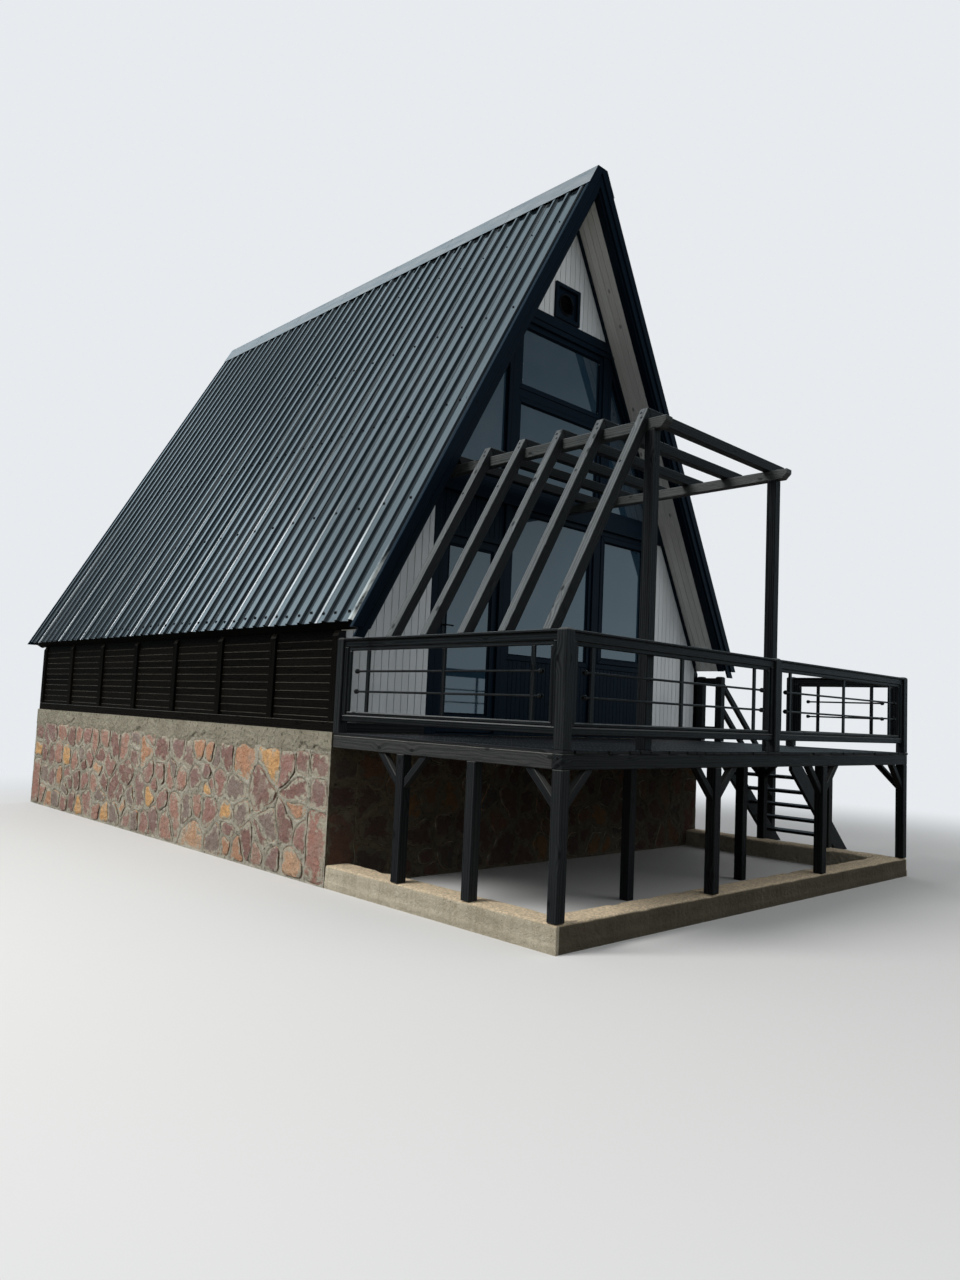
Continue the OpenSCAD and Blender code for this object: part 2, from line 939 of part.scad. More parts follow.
plinth_front();
plinth_back();
plinth_left();
plinth_right();
ground_floor();
upper_floor();
side_frame_left();
side_frame_right();
side_panels_left();
side_panels_right();
front_wall_left();
front_wall_right();
front_wall_peak();
front_posts();
storey_bands();
header_band();
dark_panels();
front_window_frames();
fixed_glass();
gable_vent();
door_frame();
door_leaf();
door_glass();
door_handle();
back_wall_lower();
back_wall_upper();
back_window_frames();
roof_deck_left();
roof_deck_right();
roof_sheet_left();
roof_sheet_right();
ridge_cap();
bargeboards();
soffit_boards();
gable_trim();
kerb();
deck_posts();
deck_braces();
deck_frame();
deck_boards();
railing_posts();
railing_left();
railing_front_left();
railing_front_right();
railing_right();
stair_stringers();
stair_treads();
stair_handrail();
pergola_posts();
pergola_side_beams();
pergola_cross_beams();
pergola_rafters();
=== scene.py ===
import math
import random

import bmesh
import bpy
from mathutils import Matrix, Vector, noise


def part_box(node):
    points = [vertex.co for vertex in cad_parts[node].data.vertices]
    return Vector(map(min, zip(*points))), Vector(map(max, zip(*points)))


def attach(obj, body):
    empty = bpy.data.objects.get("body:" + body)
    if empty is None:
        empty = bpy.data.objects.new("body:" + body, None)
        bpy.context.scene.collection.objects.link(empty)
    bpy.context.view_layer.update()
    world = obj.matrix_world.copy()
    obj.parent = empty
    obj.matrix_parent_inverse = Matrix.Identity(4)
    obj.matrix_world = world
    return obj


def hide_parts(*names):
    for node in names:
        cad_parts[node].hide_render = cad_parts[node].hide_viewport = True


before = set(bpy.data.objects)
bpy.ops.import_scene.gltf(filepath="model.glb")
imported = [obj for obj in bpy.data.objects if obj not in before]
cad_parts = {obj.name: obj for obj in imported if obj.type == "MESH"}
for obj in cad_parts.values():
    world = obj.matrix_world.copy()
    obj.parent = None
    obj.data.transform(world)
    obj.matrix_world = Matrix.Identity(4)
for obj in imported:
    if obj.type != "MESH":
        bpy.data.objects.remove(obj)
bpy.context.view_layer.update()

# Camera
# It stands left of the deck at a person's eye height, a little below the deck's floor.
# Its place, turn and focal length are those of the photograph.
photo_height_px = 1280
focal_px = 915.5
film = 36
camera_place = Vector((-8.4456, -7.6807, 1.7488))
yaw, pitch, roll = (math.radians(angle) for angle in (43.833, 4.574, 2.579))

ahead = Vector((math.sin(yaw) * math.cos(pitch), math.cos(yaw) * math.cos(pitch), math.sin(pitch)))
level = Vector((math.cos(yaw), -math.sin(yaw), 0))
upward = level.cross(ahead)
across = math.cos(roll) * level + math.sin(roll) * upward
upright = math.cos(roll) * upward - math.sin(roll) * level
camera = bpy.data.objects.new("camera", bpy.data.cameras.new("camera"))
bpy.context.scene.collection.objects.link(camera)
camera.data.sensor_width = film
camera.data.lens = film * focal_px / photo_height_px
camera.data.clip_end = 300
camera.matrix_world = (Matrix.Translation(camera_place)
                       @ Matrix((across, upright, -ahead)).transposed().to_4x4())
bpy.context.scene.camera = camera
bpy.context.scene.view_settings.view_transform = "Standard"


# Light
# One large soft lamp stands high on the left, and two weaker ones fill in from the right and the front.
# Polished pieces mirror plain surroundings, palest at mid height behind the house and low down before it.
def lamp(name, place, target, size, watts):
    light = bpy.data.lights.new(name, "AREA")
    light.shape = "DISK"
    light.size = size
    light.energy = watts
    holder = bpy.data.objects.new(name, light)
    bpy.context.scene.collection.objects.link(holder)
    holder.location = place
    holder.visible_glossy = False
    holder.rotation_euler = (Vector(target) - Vector(place)).to_track_quat("-Z", "Y").to_euler()


lamp("key_lamp", (-17, 3, 15), (0, 2, 3), 9, 4700)
lamp("right_lamp", (16, 14, 9), (0, 4, 3), 12, 900)
lamp("front_lamp", (8, -18, 13), (0, 0, 3), 20, 1000)


def connect(value, socket):
    """Joins a socket to another, or sets it to a plain value; a colour is given by its three parts."""
    if hasattr(value, "is_linked"):
        socket.id_data.links.new(value, socket)
    elif socket.type == "RGBA":
        socket.default_value = (*value, 1)
    else:
        socket.default_value = value


def nodes_of(tree):
    """Returns a short call that adds a node and sets or joins its inputs by name."""
    def node(kind, **inputs):
        made = tree.nodes.new(kind)
        for name, value in inputs.items():
            connect(value, made.inputs[name.replace("_", " ")])
        return made
    return node


def math_node(node, kind, *values):
    made = node("ShaderNodeMath")
    made.operation = kind
    for socket, value in zip(made.inputs, values):
        connect(value, socket)
    return made.outputs[0]


def spread(node, value, span=(0, 1), to=(0, 1)):
    """A value stretched from one range to another, and held at its ends."""
    return node("ShaderNodeMapRange", Value=value, From_Min=span[0], From_Max=span[1], To_Min=to[0],
                To_Max=to[1]).outputs["Result"]


def split(node, vector):
    return node("ShaderNodeSeparateXYZ", Vector=vector).outputs


def ramp_of(node, value, stops):
    """A row of colours, each from its own place on."""
    made = node("ShaderNodeValToRGB", Fac=value)
    for _ in stops[2:]:
        made.color_ramp.elements.new(0.5)
    for element, (position, colour) in zip(made.color_ramp.elements, stops):
        element.position, element.color = position, (*colour, 1)
    return made


def blend(node, factor, first, second, mode="MIX"):
    """A colour between two others; each may be a socket or a plain colour."""
    made = node("ShaderNodeMix")
    made.data_type, made.blend_type = "RGBA", mode
    for number, value in ((0, factor), (6, first), (7, second)):
        connect(value, made.inputs[number])
    return made.outputs[2]


def shader_mix(node, factor, first, second):
    made = node("ShaderNodeMixShader", Fac=factor)
    connect(first.outputs[0], made.inputs[1])
    connect(second.outputs[0], made.inputs[2])
    return made


world = bpy.data.worlds.new("studio")
bpy.context.scene.world = world
world.use_nodes = True
world.node_tree.nodes.clear()
node = nodes_of(world.node_tree)
direction = split(node, node("ShaderNodeTexCoord").outputs["Generated"])


def sky(heights):
    """Colour of the surroundings by height, as polished pieces mirror it."""
    stops = [(height, (0.69 * tone, 0.885 * tone, tone)) for height, tone in heights]
    return ramp_of(node, direction["Z"], stops).outputs[0]


behind = sky(((0.0, 0.02), (0.22, 0.04), (0.34, 0.40), (0.43, 0.85), (0.50, 0.90), (0.57, 0.56), (0.68, 0.58),
              (0.90, 0.35)))
before = sky(((0.0, 0.54), (0.10, 0.46), (0.24, 0.31), (0.36, 0.155), (0.5, 0.045), (0.9, 0.03)))
mirrored = blend(node, spread(node, direction["Y"], (-0.30, 0.40)), before, behind)
rays = node("ShaderNodeLightPath").outputs
pale = (0.80, 0.83, 0.86)
soft = node("ShaderNodeBackground", Color=(0.90, 0.95, 1.0),
            Strength=spread(node, direction["Z"], (0.02, 0.35), (0.10, 0.48)))
shine = node("ShaderNodeBackground", Color=mirrored, Strength=1.3)
seen = node("ShaderNodeBackground", Color=pale, Strength=1.0)
lit = shader_mix(node, rays["Is Glossy Ray"], soft, shine)
looked = math_node(node, "MAXIMUM", rays["Is Camera Ray"], rays["Is Transmission Ray"])
node("ShaderNodeOutputWorld", Surface=shader_mix(node, looked, lit, seen).outputs[0])


# Floor of the studio
# A plain pale floor, level with the foot of the plinth and the kerb.
def finish(name, colour, roughness, metallic=0.0, **others):
    """A new material: returns it with its shader and its node function."""
    made = bpy.data.materials.new(name)
    made.use_nodes = True
    shader = made.node_tree.nodes["Principled BSDF"]
    settings = {"Base_Color": colour, "Roughness": roughness, "Metallic": metallic, **others}
    for socket, value in settings.items():
        connect(value, shader.inputs[socket.replace("_", " ")])
    return made, shader, nodes_of(made.node_tree)


def feed(shader, socket, value):
    connect(value, shader.inputs[socket])


def place_of(node):
    return node("ShaderNodeTexCoord").outputs["Object"]


floor_grey = (0.62, 0.61, 0.59)
floor_paint, floor_shader, node = finish("studio_floor", floor_grey, 0.9)
to_camera = node("ShaderNodeLightPath").outputs["Is Camera Ray"]
feed(floor_shader, "Base Color", blend(node, to_camera, (0.18, 0.165, 0.145), floor_grey))
far_off = node("ShaderNodeVectorMath", Vector=place_of(node))
far_off.operation = "LENGTH"
haze = spread(node, far_off.outputs["Value"], (6.5, 14))
haze.node.interpolation_type = "SMOOTHSTEP"
faded = shader_mix(node, math_node(node, "MULTIPLY", haze, to_camera), floor_shader,
                   node("ShaderNodeEmission", Color=pale))
feed(floor_paint.node_tree.nodes["Material Output"], "Surface", faded.outputs[0])
floor_mesh = bpy.data.meshes.new("floor")
floor_mesh.from_pydata([(-60, -60, 0), (60, -60, 0), (60, 60, 0), (-60, 60, 0)], [], [(0, 1, 2, 3)])
floor_mesh.materials.append(floor_paint)
floor = bpy.data.objects.new("floor", floor_mesh)
bpy.context.scene.collection.objects.link(floor)


# Stone plinth
# Four walls of rubble stone laid in grey lime mortar, the joints smeared over the stones' edges.
# Large red quoins stand at the corners, and a rough band of mortar levels the top for the sole plates.
class Stock:
    """Corners and faces of one piece while it is made, each corner with its grain and board number."""

    def __init__(self):
        self.points, self.grain, self.board, self.faces, self.kinds = [], [], [], [], []

    def add(self, points, faces, grain=None, board=0.0, kind=0):
        first = len(self.points)
        self.points += [tuple(p) for p in points]
        self.grain += [tuple(g) for g in (grain or points)]
        self.board += [board] * len(points)
        self.faces += [[first + i for i in face] for face in faces]
        self.kinds += [kind] * len(faces)

    def piece(self, name, materials, slot, body="house", replaces=(), smooth=None, skin=None):
        """Makes the object. A skin is an open face that looks one way; its points are welded together."""
        mesh = bpy.data.meshes.new(name)
        mesh.from_pydata(self.points, [], self.faces)
        grain = mesh.attributes.new("grain", "FLOAT_VECTOR", "POINT")
        grain.data.foreach_set("vector", [c for g in self.grain for c in g])
        mesh.attributes.new("board", "FLOAT", "POINT").data.foreach_set("value", self.board)
        mesh.polygons.foreach_set("material_index", self.kinds)
        work = bmesh.new()
        work.from_mesh(mesh)
        if skin:
            bmesh.ops.remove_doubles(work, verts=work.verts, dist=0.0004)
            work.normal_update()
            bmesh.ops.reverse_faces(work, faces=[f for f in work.faces if f.normal.dot(skin) < 0])
        else:
            bmesh.ops.recalc_face_normals(work, faces=work.faces)
        work.to_mesh(mesh)
        work.free()
        if smooth is not None:
            mesh.shade_smooth()
            mesh.set_sharp_from_angle(angle=math.radians(smooth))
        return place_piece(name, mesh, materials, body, replaces)


def place_piece(name, mesh, materials, body, replaces):
    made = bpy.data.objects.new(name, mesh)
    bpy.context.scene.collection.objects.link(made)
    for material in materials:
        mesh.materials.append(material)
    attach(made, body)
    if replaces:
        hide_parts(*replaces)
    return made


def recoat(material, *names):
    """Gives pieces of the frame that keep their shape their finish."""
    for name in names:
        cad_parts[name].data.materials.clear()
        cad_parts[name].data.materials.append(material)


def hoops(count, first, last, base=0):
    """Faces between closed rings of points that follow each other."""
    faces = []
    for near in range(base + first * count, base + last * count, count):
        far = near + count
        faces += [[near + i, near + (i + 1) % count, far + (i + 1) % count, far + i] for i in range(count)]
    return faces


def grid(row, rows, base=0):
    """Faces between open rows of points that follow each other."""
    return [[near + i, near + i + 1, near + row + i + 1, near + row + i]
            for near in range(base, base + rows * row, row) for i in range(row - 1)]


def ripple(u, v, scale, layer):
    """A smooth unevenness between about -1 and 1."""
    return noise.noise(Vector((u * scale, v * scale, layer)))


plinth_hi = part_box("plinth_right")[1]
house_front, house_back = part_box("plinth_front")[0].y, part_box("plinth_back")[1].y
half_house, floor_z = plinth_hi.x, plinth_hi.z
band_depth = 0.19
quoin_width, quoin_height = 0.34, 0.72
stone_size = (0.31, 0.335)
joint_half = 0.030
mortar_proud = 0.013
sample = 0.034


def clipped(outline, middle, normal):
    """The part of a convex outline on the near side of the line through middle."""
    sides = [(p - middle).dot(normal) for p in outline]
    kept = []
    for i, (p, s) in enumerate(zip(outline, sides)):
        q, t = outline[(i + 1) % len(outline)], sides[(i + 1) % len(outline)]
        if s <= 0:
            kept.append(p)
        if s * t < 0:
            kept.append(p + (q - p) * (s / (s - t)))
    return kept


def stone_cells(length, top, rng):
    """Outlines of the stones of one wall: quoins at both ends and a field of mixed shapes between."""
    rows = round(top / stone_size[1])
    columns = round((length - 2 * quoin_width) / stone_size[0])
    step = Vector(((length - 2 * quoin_width) / columns, top / rows))
    seeds = [Vector((quoin_width + (c + 0.5 + 0.5 * (r % 2) - 0.25 + rng.uniform(-0.3, 0.3)) * step.x,
                     (r + 0.5 + rng.uniform(-0.27, 0.27)) * step.y))
             for r in range(rows) for c in range(columns) if rng.random() > 0.13]
    seeds += [Vector((rng.uniform(quoin_width, length - quoin_width), rng.uniform(0, top)))
              for _ in range(round(0.22 * len(seeds)))]
    cells = []
    for seed in seeds:
        cell = [Vector(p) for p in ((quoin_width, 0), (length - quoin_width, 0),
                                    (length - quoin_width, top), (quoin_width, top))]
        for other in seeds:
            if other is not seed and (other - seed).length < 1.5:
                cell = clipped(cell, (seed + other) / 2, other - seed)
        cells.append(cell)
    for x in (0, length - quoin_width):
        parts = [0, quoin_height, quoin_height + rng.uniform(0.22, 0.36), top]
        for z0, z1 in zip(parts, parts[1:]):
            corners = ((x, z0), (x + quoin_width, z0), (x + quoin_width, z1), (x, z1))
            cells.append([Vector(p) for p in corners])
    return cells


def lay_stone(stock, cell, place, length, top, rng, shade, gap=1.0):
    """One stone with its half of the joint: rings of points from the joint's crest to the middle."""
    rim = []
    for a, b in zip(cell, cell[1:] + cell[:1]):
        parts = max(1, round((b - a).length / sample))
        rim += [a + (b - a) * k / parts for k in range(parts)]
    middle = sum(rim, Vector((0, 0))) / len(rim)
    crest, reach, aim = [], [], []
    for p in rim:
        inside = max(0.0, min(1.0, min(p.x, length - p.x, p.y, top - p.y) / 0.06))
        moved = p + Vector((ripple(p.x, p.y, 6, 1), ripple(p.x, p.y, 6, 9))) * 0.026 * inside
        crest.append(moved)
        aim.append((moved - middle).normalized())
        joint = gap * joint_half * (1 + 1.1 * ripple(p.x, p.y, 4, 4) + 0.6 * ripple(p.x, p.y, 17, 4))
        reach.append(max(0.35 * (moved - middle).length, (moved - middle).length - joint))
    for _ in range(7):
        eased = [(reach[i - 1] + 2 * reach[i] + reach[(i + 1) % len(reach)]) / 4 for i in range(len(reach))]
        reach = [min(a, b + 0.001) for a, b in zip(eased, reach)]
    reach = [min(r, (c - middle).length - 0.003) for r, c in zip(reach, crest)]
    proud = rng.uniform(0.007, 0.024)
    tilt = Vector((rng.uniform(-0.03, 0.03), rng.uniform(-0.03, 0.03)))
    layer = rng.uniform(0, 90)

    def face(p):
        return (proud + tilt.dot(p - middle) + 0.010 * ripple(p.x, p.y, 7, layer)
                + 0.007 * ripple(p.x, p.y, 19, layer))

    rings = [[(p, mortar_proud + 0.004 * ripple(p.x, p.y, 8, 2)) for p in crest]]
    for share, height in ((0.5, 0.012), (0.12, 0.007), (0.0, 0.004)):
        rings.append([(middle + d * (r + share * ((c - middle).length - r)),
                       height + 0.002 * ripple(c.x, c.y, 21, 5)) for c, d, r in zip(crest, aim, reach)])
    for share in (0.95, 0.7, 0.38):
        ring = [middle + d * r * share for d, r in zip(aim, reach)]
        drop = 0.004 if share > 0.9 else 0
        rings.append([(p, max(0.003, face(p) - drop)) for p in ring])
    rings.append([(middle, max(0.004, face(middle)))])
    count = len(rim)
    points = [place(p.x, p.y, h) for ring in rings for p, h in ring]
    edge_share = [(s, 0, 0) for s, ring in zip((1, 1, 1, 1, 0.95, 0.7, 0.38, 0), rings) for _ in ring]
    crown = [[6 * count + i, 6 * count + (i + 1) % count, 7 * count] for i in range(count)]
    stock.add(points[:4 * count], hoops(count, 0, 3), board=1.0, kind=1)
    stock.add(points, hoops(count, 3, 6) + crown, edge_share, shade)


def level_band(stock, length, place):
    """Rough mortar along the top of a wall, its lower edge running over the stones."""
    across_n, up_n = round(length / 0.045), 7
    points = []
    for j in range(up_n + 1):
        for i in range(across_n + 1):
            u, t = length * i / across_n, j / up_n
            foot = floor_z - band_depth - 0.04 + 0.20 * ripple(u, 0, 1.7, 7) + 0.10 * ripple(u, 0, 6, 7)
            v = foot + (floor_z - foot) * t
            rise = 0.004 if j == 0 else 0.017 + 0.009 * ripple(u, v, 7, 3) + 0.006 * ripple(u, v, 19, 3)
            edge = 0 < i < across_n
            points.append(place(u, v, rise if edge else 0.016 if j else 0.004))
    points += [place(length * i / across_n, floor_z, 0) for i in range(across_n + 1)]
    stock.add(points, grid(across_n + 1, up_n + 1), kind=1)


def marked(node, name):
    """What the corners of a mesh carry: their place in the grain, or their board's number."""
    made = node("ShaderNodeAttribute")
    made.attribute_name = name
    return made.outputs["Vector" if name == "grain" else "Fac"]


def cloud(node, vector, scale, detail=5, low=0.35, high=0.65, rough=0.55):
    """Soft patches between 0 and 1."""
    made = node("ShaderNodeTexNoise", Vector=vector, Scale=scale, Detail=detail, Roughness=rough)
    return spread(node, made.outputs["Fac"], (low, high))


def relief(node, shader, height, depth, strength=1.0, under=None):
    made = node("ShaderNodeBump", Height=height, Distance=depth, Strength=strength)
    if under is not None:
        connect(under, made.inputs["Normal"])
    feed(shader, "Normal", made.outputs[0])
    return made.outputs[0]


def painted_deck_shade(node, colour, shade):
    """Painted shade: the wall that faces the deck is darkened, as if in the shadow under the deck."""
    facing = split(node, node("ShaderNodeNewGeometry").outputs["True Normal"])
    return blend(node, spread(node, facing["Y"], (-0.75, -0.25), (0.9, 0.0)), colour, shade, "MULTIPLY")


stone_face, stone_shader, node = finish("rubble_stone", (0.3, 0.16, 0.12), 0.85)
place_in = place_of(node)
tones = ramp_of(node, marked(node, "board"), (
    (0.0, (0.350, 0.220, 0.190)), (0.17, (0.460, 0.280, 0.240)), (0.34, (0.370, 0.250, 0.225)),
    (0.48, (0.540, 0.330, 0.260)), (0.62, (0.350, 0.290, 0.255)), (0.74, (0.650, 0.380, 0.240)),
    (0.84, (0.840, 0.520, 0.240)), (0.91, (0.720, 0.480, 0.310)), (0.97, (0.500, 0.285, 0.230))))
tones.color_ramp.interpolation = "CONSTANT"
tint = blend(node, cloud(node, place_in, 14, 8), tones.outputs["Color"], (0.9, 0.78, 0.72), "MULTIPLY")
tint = blend(node, cloud(node, place_in, 5, 6, 0.52, 0.9), tint, (0.52, 0.45, 0.37))
tint = blend(node, cloud(node, place_in, 75, 4, 0.58, 0.75), tint, (0.05, 0.03, 0.03))
film = math_node(node, "MULTIPLY", cloud(node, place_in, 7, 9, 0.54, 0.66, 0.7), 0.6)
tint = blend(node, film, tint, (0.36, 0.30, 0.23))
tint = blend(node, cloud(node, place_in, 30, 8, 0.60, 0.70, 0.7), tint, (0.09, 0.055, 0.05))
covered = math_node(node, "MULTIPLY_ADD", cloud(node, place_in, 1.1, 4, 0.50, 0.80), 0.55,
                    split(node, marked(node, "grain"))["X"])
ragged = math_node(node, "ADD", covered, cloud(node, place_in, 11, 8, 0.3, 0.7, 0.65))
tint = blend(node, spread(node, ragged, (1.28, 1.50)), tint, (0.52, 0.48, 0.375))
# Painted shade on the stones of the wall under the deck.
feed(stone_shader, "Base Color", painted_deck_shade(node, tint, (0.21, 0.185, 0.145)))
hewn = relief(node, stone_shader, cloud(node, place_in, 17, 6, 0.3, 0.7, 0.6), 0.035)
relief(node, stone_shader, cloud(node, place_in, 60, 10, 0.2, 0.8, 0.7), 0.012, under=hewn)

mortar, mortar_shader, node = finish("lime_mortar", (0.32, 0.29, 0.22), 0.95)
place_in = place_of(node)
smear = blend(node, cloud(node, place_in, 2.2, 8, 0.3, 0.7, 0.7), (0.33, 0.305, 0.235), (0.58, 0.545, 0.445))
smear = blend(node, cloud(node, place_in, 120, 4, 0.55, 0.7), smear, (0.62, 0.58, 0.47))
smear = blend(node, cloud(node, place_in, 26, 8, 0.55, 0.68, 0.65), smear, (0.10, 0.088, 0.066))
smear = blend(node, marked(node, "board"), blend(node, 1.0, smear, (0.72, 0.71, 0.67), "MULTIPLY"), smear)
# Painted shade on the mortar of the wall under the deck.
feed(mortar_shader, "Base Color", painted_deck_shade(node, smear, (0.28, 0.235, 0.175)))
slapped = relief(node, mortar_shader, cloud(node, place_in, 13, 5, 0.3, 0.7, 0.6), 0.030)
relief(node, mortar_shader, cloud(node, place_in, 55, 12, 0.2, 0.8, 0.75), 0.014, under=slapped)

wall_faces = {
    "left": (house_back - house_front, (-1, 0, 0), lambda u, v, h: (-half_house - h, house_back - u, v)),
    "right": (house_back - house_front, (1, 0, 0), lambda u, v, h: (half_house + h, house_front + u, v)),
    "front": (2 * half_house, (0, -1, 0), lambda u, v, h: (-half_house + u, house_front - h, v)),
    "back": (2 * half_house, (0, 1, 0), lambda u, v, h: (half_house - u, house_back + h, v)),
}


def corner_reach(u, length, h):
    """Moves the ends of a wall's face outwards by its own relief, so that two faces meet at the corner."""
    return -h if u < 0.001 else h if u > length - 0.001 else 0.0


for side, (length, outward, flat) in wall_faces.items():
    rng = random.Random("plinth " + side)
    stones = Stock()

    def place(u, v, h, flat=flat, length=length):
        return flat(u + corner_reach(u, length, h), v, h)

    top = floor_z - band_depth
    for cell in stone_cells(length, top, rng):
        if len(cell) > 2:
            heights = [p.y for p in cell]
            quoin = len(cell) == 4 and min(heights) == 0 and abs(max(heights) - quoin_height) < 0.001
            shade, gap = (0.98, 0.45) if quoin else (0.96 * rng.random(), 1.0)
            lay_stone(stones, cell, place, length, top, rng, shade, gap)
    level_band(stones, length, place)
    stones.piece("plinth_stones_" + side, [stone_face, mortar], "stone", smooth=60, skin=Vector(outward))
    recoat(mortar, "plinth_" + side)


# Floors
# Planed softwood boards nailed over joists, on the ground floor and on the upper floor under the roof.
# Both slabs are the frame's own; the boards and their joints are in the finish.
def stretched(node, vector, scale):
    return node("ShaderNodeMapping", Vector=vector, Scale=scale).outputs[0]


board_floor, board_shader, node = finish("planed_floor", (0.45, 0.33, 0.22), 0.55)
lengthways = node("ShaderNodeMapping", Vector=place_of(node), Rotation=(0, 0, math.pi / 2)).outputs[0]
planking = node("ShaderNodeTexBrick", Vector=lengthways, Color1=(0.50, 0.35, 0.22), Color2=(0.38, 0.26, 0.16),
                Mortar=(0.05, 0.03, 0.02), Scale=1.0, Mortar_Size=0.003, Brick_Width=2.6, Row_Height=0.12)
planking.offset = 0.37
fibres = cloud(node, stretched(node, lengthways, (0.06, 1, 1)), 90, 6)
planed = blend(node, fibres, planking.outputs["Color"], (0.75, 0.68, 0.6), "MULTIPLY")
feed(board_shader, "Base Color", planed)
relief(node, board_shader, planking.outputs["Fac"], -0.002)
recoat(board_floor, "ground_floor", "upper_floor")


# Knee walls
# Low walls of 10 cm square timber along both sides: a sole plate, eight posts and a bevelled wall plate.
# Narrow boards with chamfered edges close each bay, set back from the posts, all stained brown-black.
def inset(outline, depth):
    """A convex outline with each side moved inwards."""
    count, moved = len(outline), []
    area = sum(a.x * b.y - b.x * a.y for a, b in zip(outline, outline[1:] + outline[:1]))
    turn = 1 if area > 0 else -1
    for i, p in enumerate(outline):
        a, b = (p - outline[i - 1]).normalized(), (outline[(i + 1) % count] - p).normalized()
        n1, n2 = Vector((-a.y, a.x)) * turn, Vector((-b.y, b.x)) * turn
        moved.append(p + depth * (n1 + n2) / max(0.2, 1 + n1.dot(n2)))
    return moved


def grain_start(rng):
    """A place of its own in the wood for each board."""
    return Vector([rng.uniform(0, 40) for _ in range(3)])


def cut_bar(stock, section, origin, axes, length, chamfer, rng, slopes=((0, 0), (0, 0)), kind=0):
    """A timber of a convex section along the first of three axes, with chamfered edges.

    slopes gives for each end the slope of its cut against the two section axes."""
    along, side, up = axes
    section = [Vector(p) for p in section]
    count = len(section)
    inner, shoulder = inset(section, chamfer), []
    for i, p in enumerate(section):
        before, after = section[i - 1] - p, section[(i + 1) % count] - p
        reach = min(chamfer, before.length / 3, after.length / 3)
        shoulder += [p + before.normalized() * reach, p + after.normalized() * reach]
    offset = grain_start(rng)
    points, grain = [], []
    near, far = (Vector(cut) for cut in slopes)
    for ring, at, cut in ((inner, 0, near), (shoulder, chamfer, near), (shoulder, length - chamfer, far),
                          (inner, length, far)):
        for p in ring:
            distance = at + cut.dot(p)
            points.append(origin + along * distance + side * p.x + up * p.y)
            grain.append(Vector((distance, p.x, p.y)) + offset)
    last = 5 * count
    faces = [list(range(count)), [last + i for i in range(count)]] + hoops(2 * count, 0, 1, count)
    for face, base in ((0, count), (last, 3 * count)):
        for i in range(count):
            j = (i + 1) % count
            faces += [[base + 2 * i, base + 2 * i + 1, face + i],
                      [base + 2 * i + 1, base + 2 * j, face + j, face + i]]
    stock.add(points, faces, grain, rng.random(), kind)


def box_bar(stock, low, high, chamfer, rng, kind=0, along=None):
    """A straight timber between two corners, its grain along its longest side."""
    low, high = Vector(low), Vector(high)
    size = high - low
    first = max(range(3), key=lambda i: size[i]) if along is None else along
    second, third = (first + 1) % 3, (first + 2) % 3
    axes = [Vector([1.0 if i == k else 0.0 for i in range(3)]) for k in (first, second, third)]
    section = [(0, 0), (size[second], 0), (size[second], size[third]), (0, size[third])]
    cut_bar(stock, section, low, axes, size[first], chamfer, rng, kind=kind)


def timber_finish(name, dark, light, roughness, knots, depth=0.0015, dust_and_sheen=None, dust_and_sheen_share=0.0, lines=0.6,
                  gloss=0.18):
    """Sawn wood under stain or paint: fibres, growth rings and knots follow each board's own grain."""
    made, shader, node = finish(name, dark, roughness, Specular_IOR_Level=gloss)
    parts = split(node, marked(node, "grain"))
    width = math_node(node, "MULTIPLY_ADD", parts["Z"], 1.37, parts["Y"])
    spot = node("ShaderNodeCombineXYZ", X=math_node(node, "MULTIPLY", parts["X"], 0.55), Y=width)
    cells = node("ShaderNodeTexVoronoi", Vector=spot.outputs[0], Scale=4.2, Randomness=1.0)
    cells.voronoi_dimensions = "2D"
    drawn_by = node("ShaderNodeSeparateColor", Color=cells.outputs["Color"]).outputs[0]
    chosen = math_node(node, "LESS_THAN", drawn_by, knots)
    near = spread(node, cells.outputs["Distance"], (0.045, 0.085), (1, 0))
    knot = math_node(node, "MULTIPLY", near, chosen)
    around = spread(node, cells.outputs["Distance"], (0, 0.34), (0.035, 0))
    around.node.interpolation_type = "SMOOTHSTEP"
    swung = math_node(node, "MULTIPLY_ADD", around, chosen, width)
    swept = node("ShaderNodeCombineXYZ", X=math_node(node, "MULTIPLY", parts["X"], 0.045), Y=swung,
                 Z=parts["Z"]).outputs[0]
    fibres = cloud(node, swept, 150, 8, 0.3, 0.7, 0.7)
    figure = node("ShaderNodeTexWave", Vector=swept, Scale=11, Distortion=7, Detail=3, Detail_Scale=1.4,
                  Detail_Roughness=0.6)
    figure.bands_direction = "Y"
    drawn = math_node(node, "MULTIPLY_ADD", figure.outputs["Fac"], lines,
                      math_node(node, "MULTIPLY", fibres, 1 - lines))
    tone = spread(node, marked(node, "board"), to=(-0.22, 0.22))
    level = math_node(node, "ADD", drawn, tone)
    level.node.use_clamp = True
    colour = blend(node, level, dark, light)
    # Dust and painted sheen: upward faces are lightened, partly for dust lying there and partly as painted
    # light on lit tops and upper chamfers.
    if dust_and_sheen:
        upward = split(node, node("ShaderNodeNewGeometry").outputs["Normal"])
        lying = spread(node, upward["Z"], (0.25, 0.5), (0, dust_and_sheen_share))
        dust_and_sheen_patches = math_node(node, "MULTIPLY", lying, spread(node, drawn, to=(0.35, 1)))
        colour = blend(node, dust_and_sheen_patches, colour, dust_and_sheen)
    colour = blend(node, math_node(node, "MULTIPLY", knot, 0.75), colour, tuple(c * 0.35 for c in dark))
    feed(shader, "Base Color", colour)
    feed(shader, "Roughness", spread(node, fibres, to=(roughness - 0.08, roughness + 0.12)))
    raised = math_node(node, "ADD", drawn, math_node(node, "MULTIPLY", fibres, 0.7))
    relief(node, shader, math_node(node, "MULTIPLY_ADD", knot, 0.6, raised), depth)
    return made


